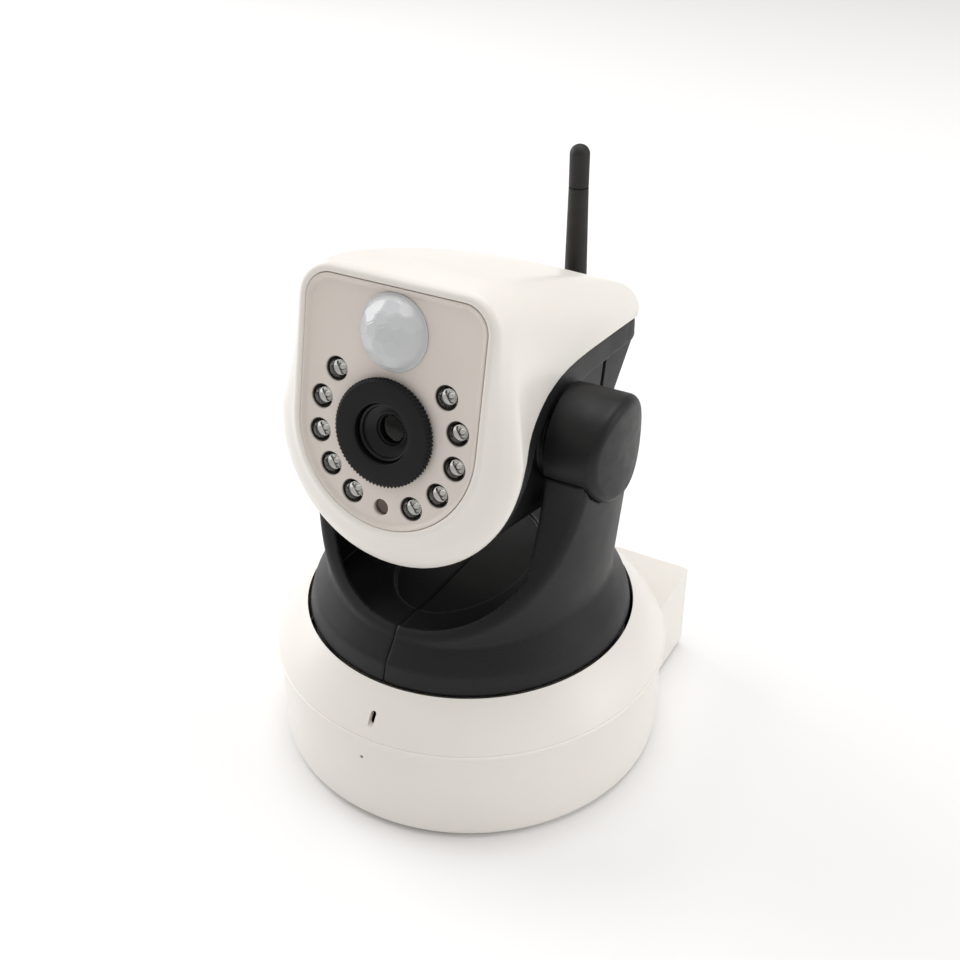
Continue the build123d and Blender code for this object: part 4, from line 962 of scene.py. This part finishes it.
# upright groove in the flank: middle, half sizes and depth of cut
SLOT_DEPTH, SLOT_HEIGHT, SLOT_HALF_WIDTH, SLOT_HALF_LENGTH, SLOT_CUT = 60.0, 5.6, 0.8, 4.6, 0.9
BOSS_R, BOSS_IN, BOSS_HALF, BUSH_R = 10.3, 22.2, 26.2, 9.0
SWEEP_ROUND, REAR_ROUND, BAND_ROUND, EDGE_ROUND = 1.0, 0.8, 0.5, 0.4
tilt_offset = np.array(JOINTS["tilt"]["pos_m"]) - LENS_ORIGIN
TILT_DEPTH = float(tilt_offset @ HEAD_DEPTH) / MM
TILT_HEIGHT = float(tilt_offset @ HEAD_UP) / MM


def cover_outline(x, depth, height):
    """Field of the head's round underside and upright sides."""
    hood = np.array(HOOD_STATIONS)
    values = smooth_curve(hood[:, 0], hood, depth[0, :, 0] if depth.ndim == 3 else depth)
    if depth.ndim == 3:
        values = values[None, :, None, :]
    wide, level, low, wide_top, top, corner = [values[..., k] for k in range(1, 7)]
    sag = level - low
    radius = (wide ** 2 + sag ** 2) / (2 * sag)
    centre = low + radius
    below = np.hypot(x, height - centre) - radius
    rise = np.clip((height - level) / (top - corner - level), 0, 1)
    beside = np.abs(x) - (wide + (wide_top - wide) * rise)
    return np.where(height < level, below, beside) + COVER_STEP


def band_low(depth):
    """Height of the band's lower edge at a depth."""
    return np.interp(depth, BAND_LOW[:, 0], BAND_LOW[:, 1])


def cover_body(x, depth, height, inset):
    """Field of the cover's closed form, drawn in by an inset, and the distance from the white edge."""
    slope = (edge_depth(height + 0.25) - edge_depth(height - 0.25)) / 0.5
    edge = (edge_depth(height) - depth) / np.sqrt(1 + slope ** 2)
    form = cover_outline(x, depth, height) + inset
    sweep = np.hypot(depth - TILT_DEPTH, height - TILT_HEIGHT) - SWEEP_R + inset
    form = round_max(form, sweep, SWEEP_ROUND)
    rear = (depth - REAR_DEPTH - (height - REAR_HEIGHT) * REAR_LEAN) / math.hypot(1, REAR_LEAN) + inset
    form = round_max(form, np.maximum(rear, depth - REAR_END + inset), REAR_ROUND)
    tilt = (band_low(depth + 1) - band_low(depth - 1)) / 2
    below_band = (band_low(depth) - height) / np.sqrt(1 + tilt ** 2)
    recess = np.minimum(below_band + inset, depth - BAND_START + inset)
    flank = np.minimum(np.abs(x) - COVER_HALF + inset, recess)
    return round_max(form, flank, BAND_ROUND), edge


def cover_field(x, depth, height):
    """Black cover with a raised band under the white edge, open at the front and above."""
    outside, edge = cover_body(x, depth, height, 0)
    inside, _ = cover_body(x, depth, height, COVER_WALL)
    across = np.abs(depth - SLOT_DEPTH) - SLOT_HALF_WIDTH
    along = np.abs(height - SLOT_HEIGHT) - SLOT_HALF_LENGTH
    slot = np.maximum(np.maximum(across, along), COVER_HALF - SLOT_CUT - np.abs(x))
    outside = np.maximum(outside, -slot)
    shell = np.maximum(outside, -inside)
    reach = np.hypot(depth - TILT_DEPTH, height - TILT_HEIGHT)
    boss = np.maximum(np.maximum(reach - BOSS_R, np.abs(x) - BOSS_HALF), BOSS_IN - np.abs(x))
    shell = np.minimum(shell, boss)
    shell = np.maximum(shell, BUSH_R - reach)
    return round_max(shell, edge + COVER_GAP, EDGE_ROUND)


# ================================================================ the pieces
shell = link("head_shell", head_shell_mesh(), WHITE, "head")
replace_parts(shell, "head_front_shell")
panel = link("panel", panel_mesh(), PANEL, "head")
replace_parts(panel, "front_panel")
domes = lamp_parts("ir_lamp_domes", LED_DOME, 40, CLEAR_RESIN)
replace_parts(domes, "ir_leds")
lamp_parts("ir_lamp_cups", LED_CUP, 28, CHROME)
# dark pieces of painted shade inside and round the lamps
link("ir_lamp_painted_shade", painted_lamp_shade(), LAMP_SHADE_PAINT, "head")
link("ir_lamp_posts", lamp_bonds(), CHROME, "head")
pir = link("motion_sensor_lens", pir_mesh(), MILKY, "head")
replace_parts(pir, "pir_lens")
ring = link("knurled_ring", focus_ring_mesh(), FOCUS, "focus")
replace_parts(ring, "focus_ring")
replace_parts(lens_ring("barrel", BARREL), "lens_barrel")
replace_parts(lens_glass("front_element", FRONT_ELEMENT), "lens_glass")
lens_ring("lens_cell", LENS_CELL)
lens_glass("rear_element", REAR_ELEMENT)

right = field_mesh("yoke_right", yoke_field, *YOKE_BOX, FIELD_STEP, in_world)
left = mirrored(right, "yoke_left")
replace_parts(link("yoke_right", right, BLACK, "yoke"), "yoke_right_half")
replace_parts(link("yoke_left", left, BLACK, "yoke"), "yoke_left_half")
cover = field_mesh("rear_cover", cover_field, *COVER_BOX, FIELD_STEP, head_point)
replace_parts(link("rear_cover", cover, BLACK, "head"), "head_rear_cover")
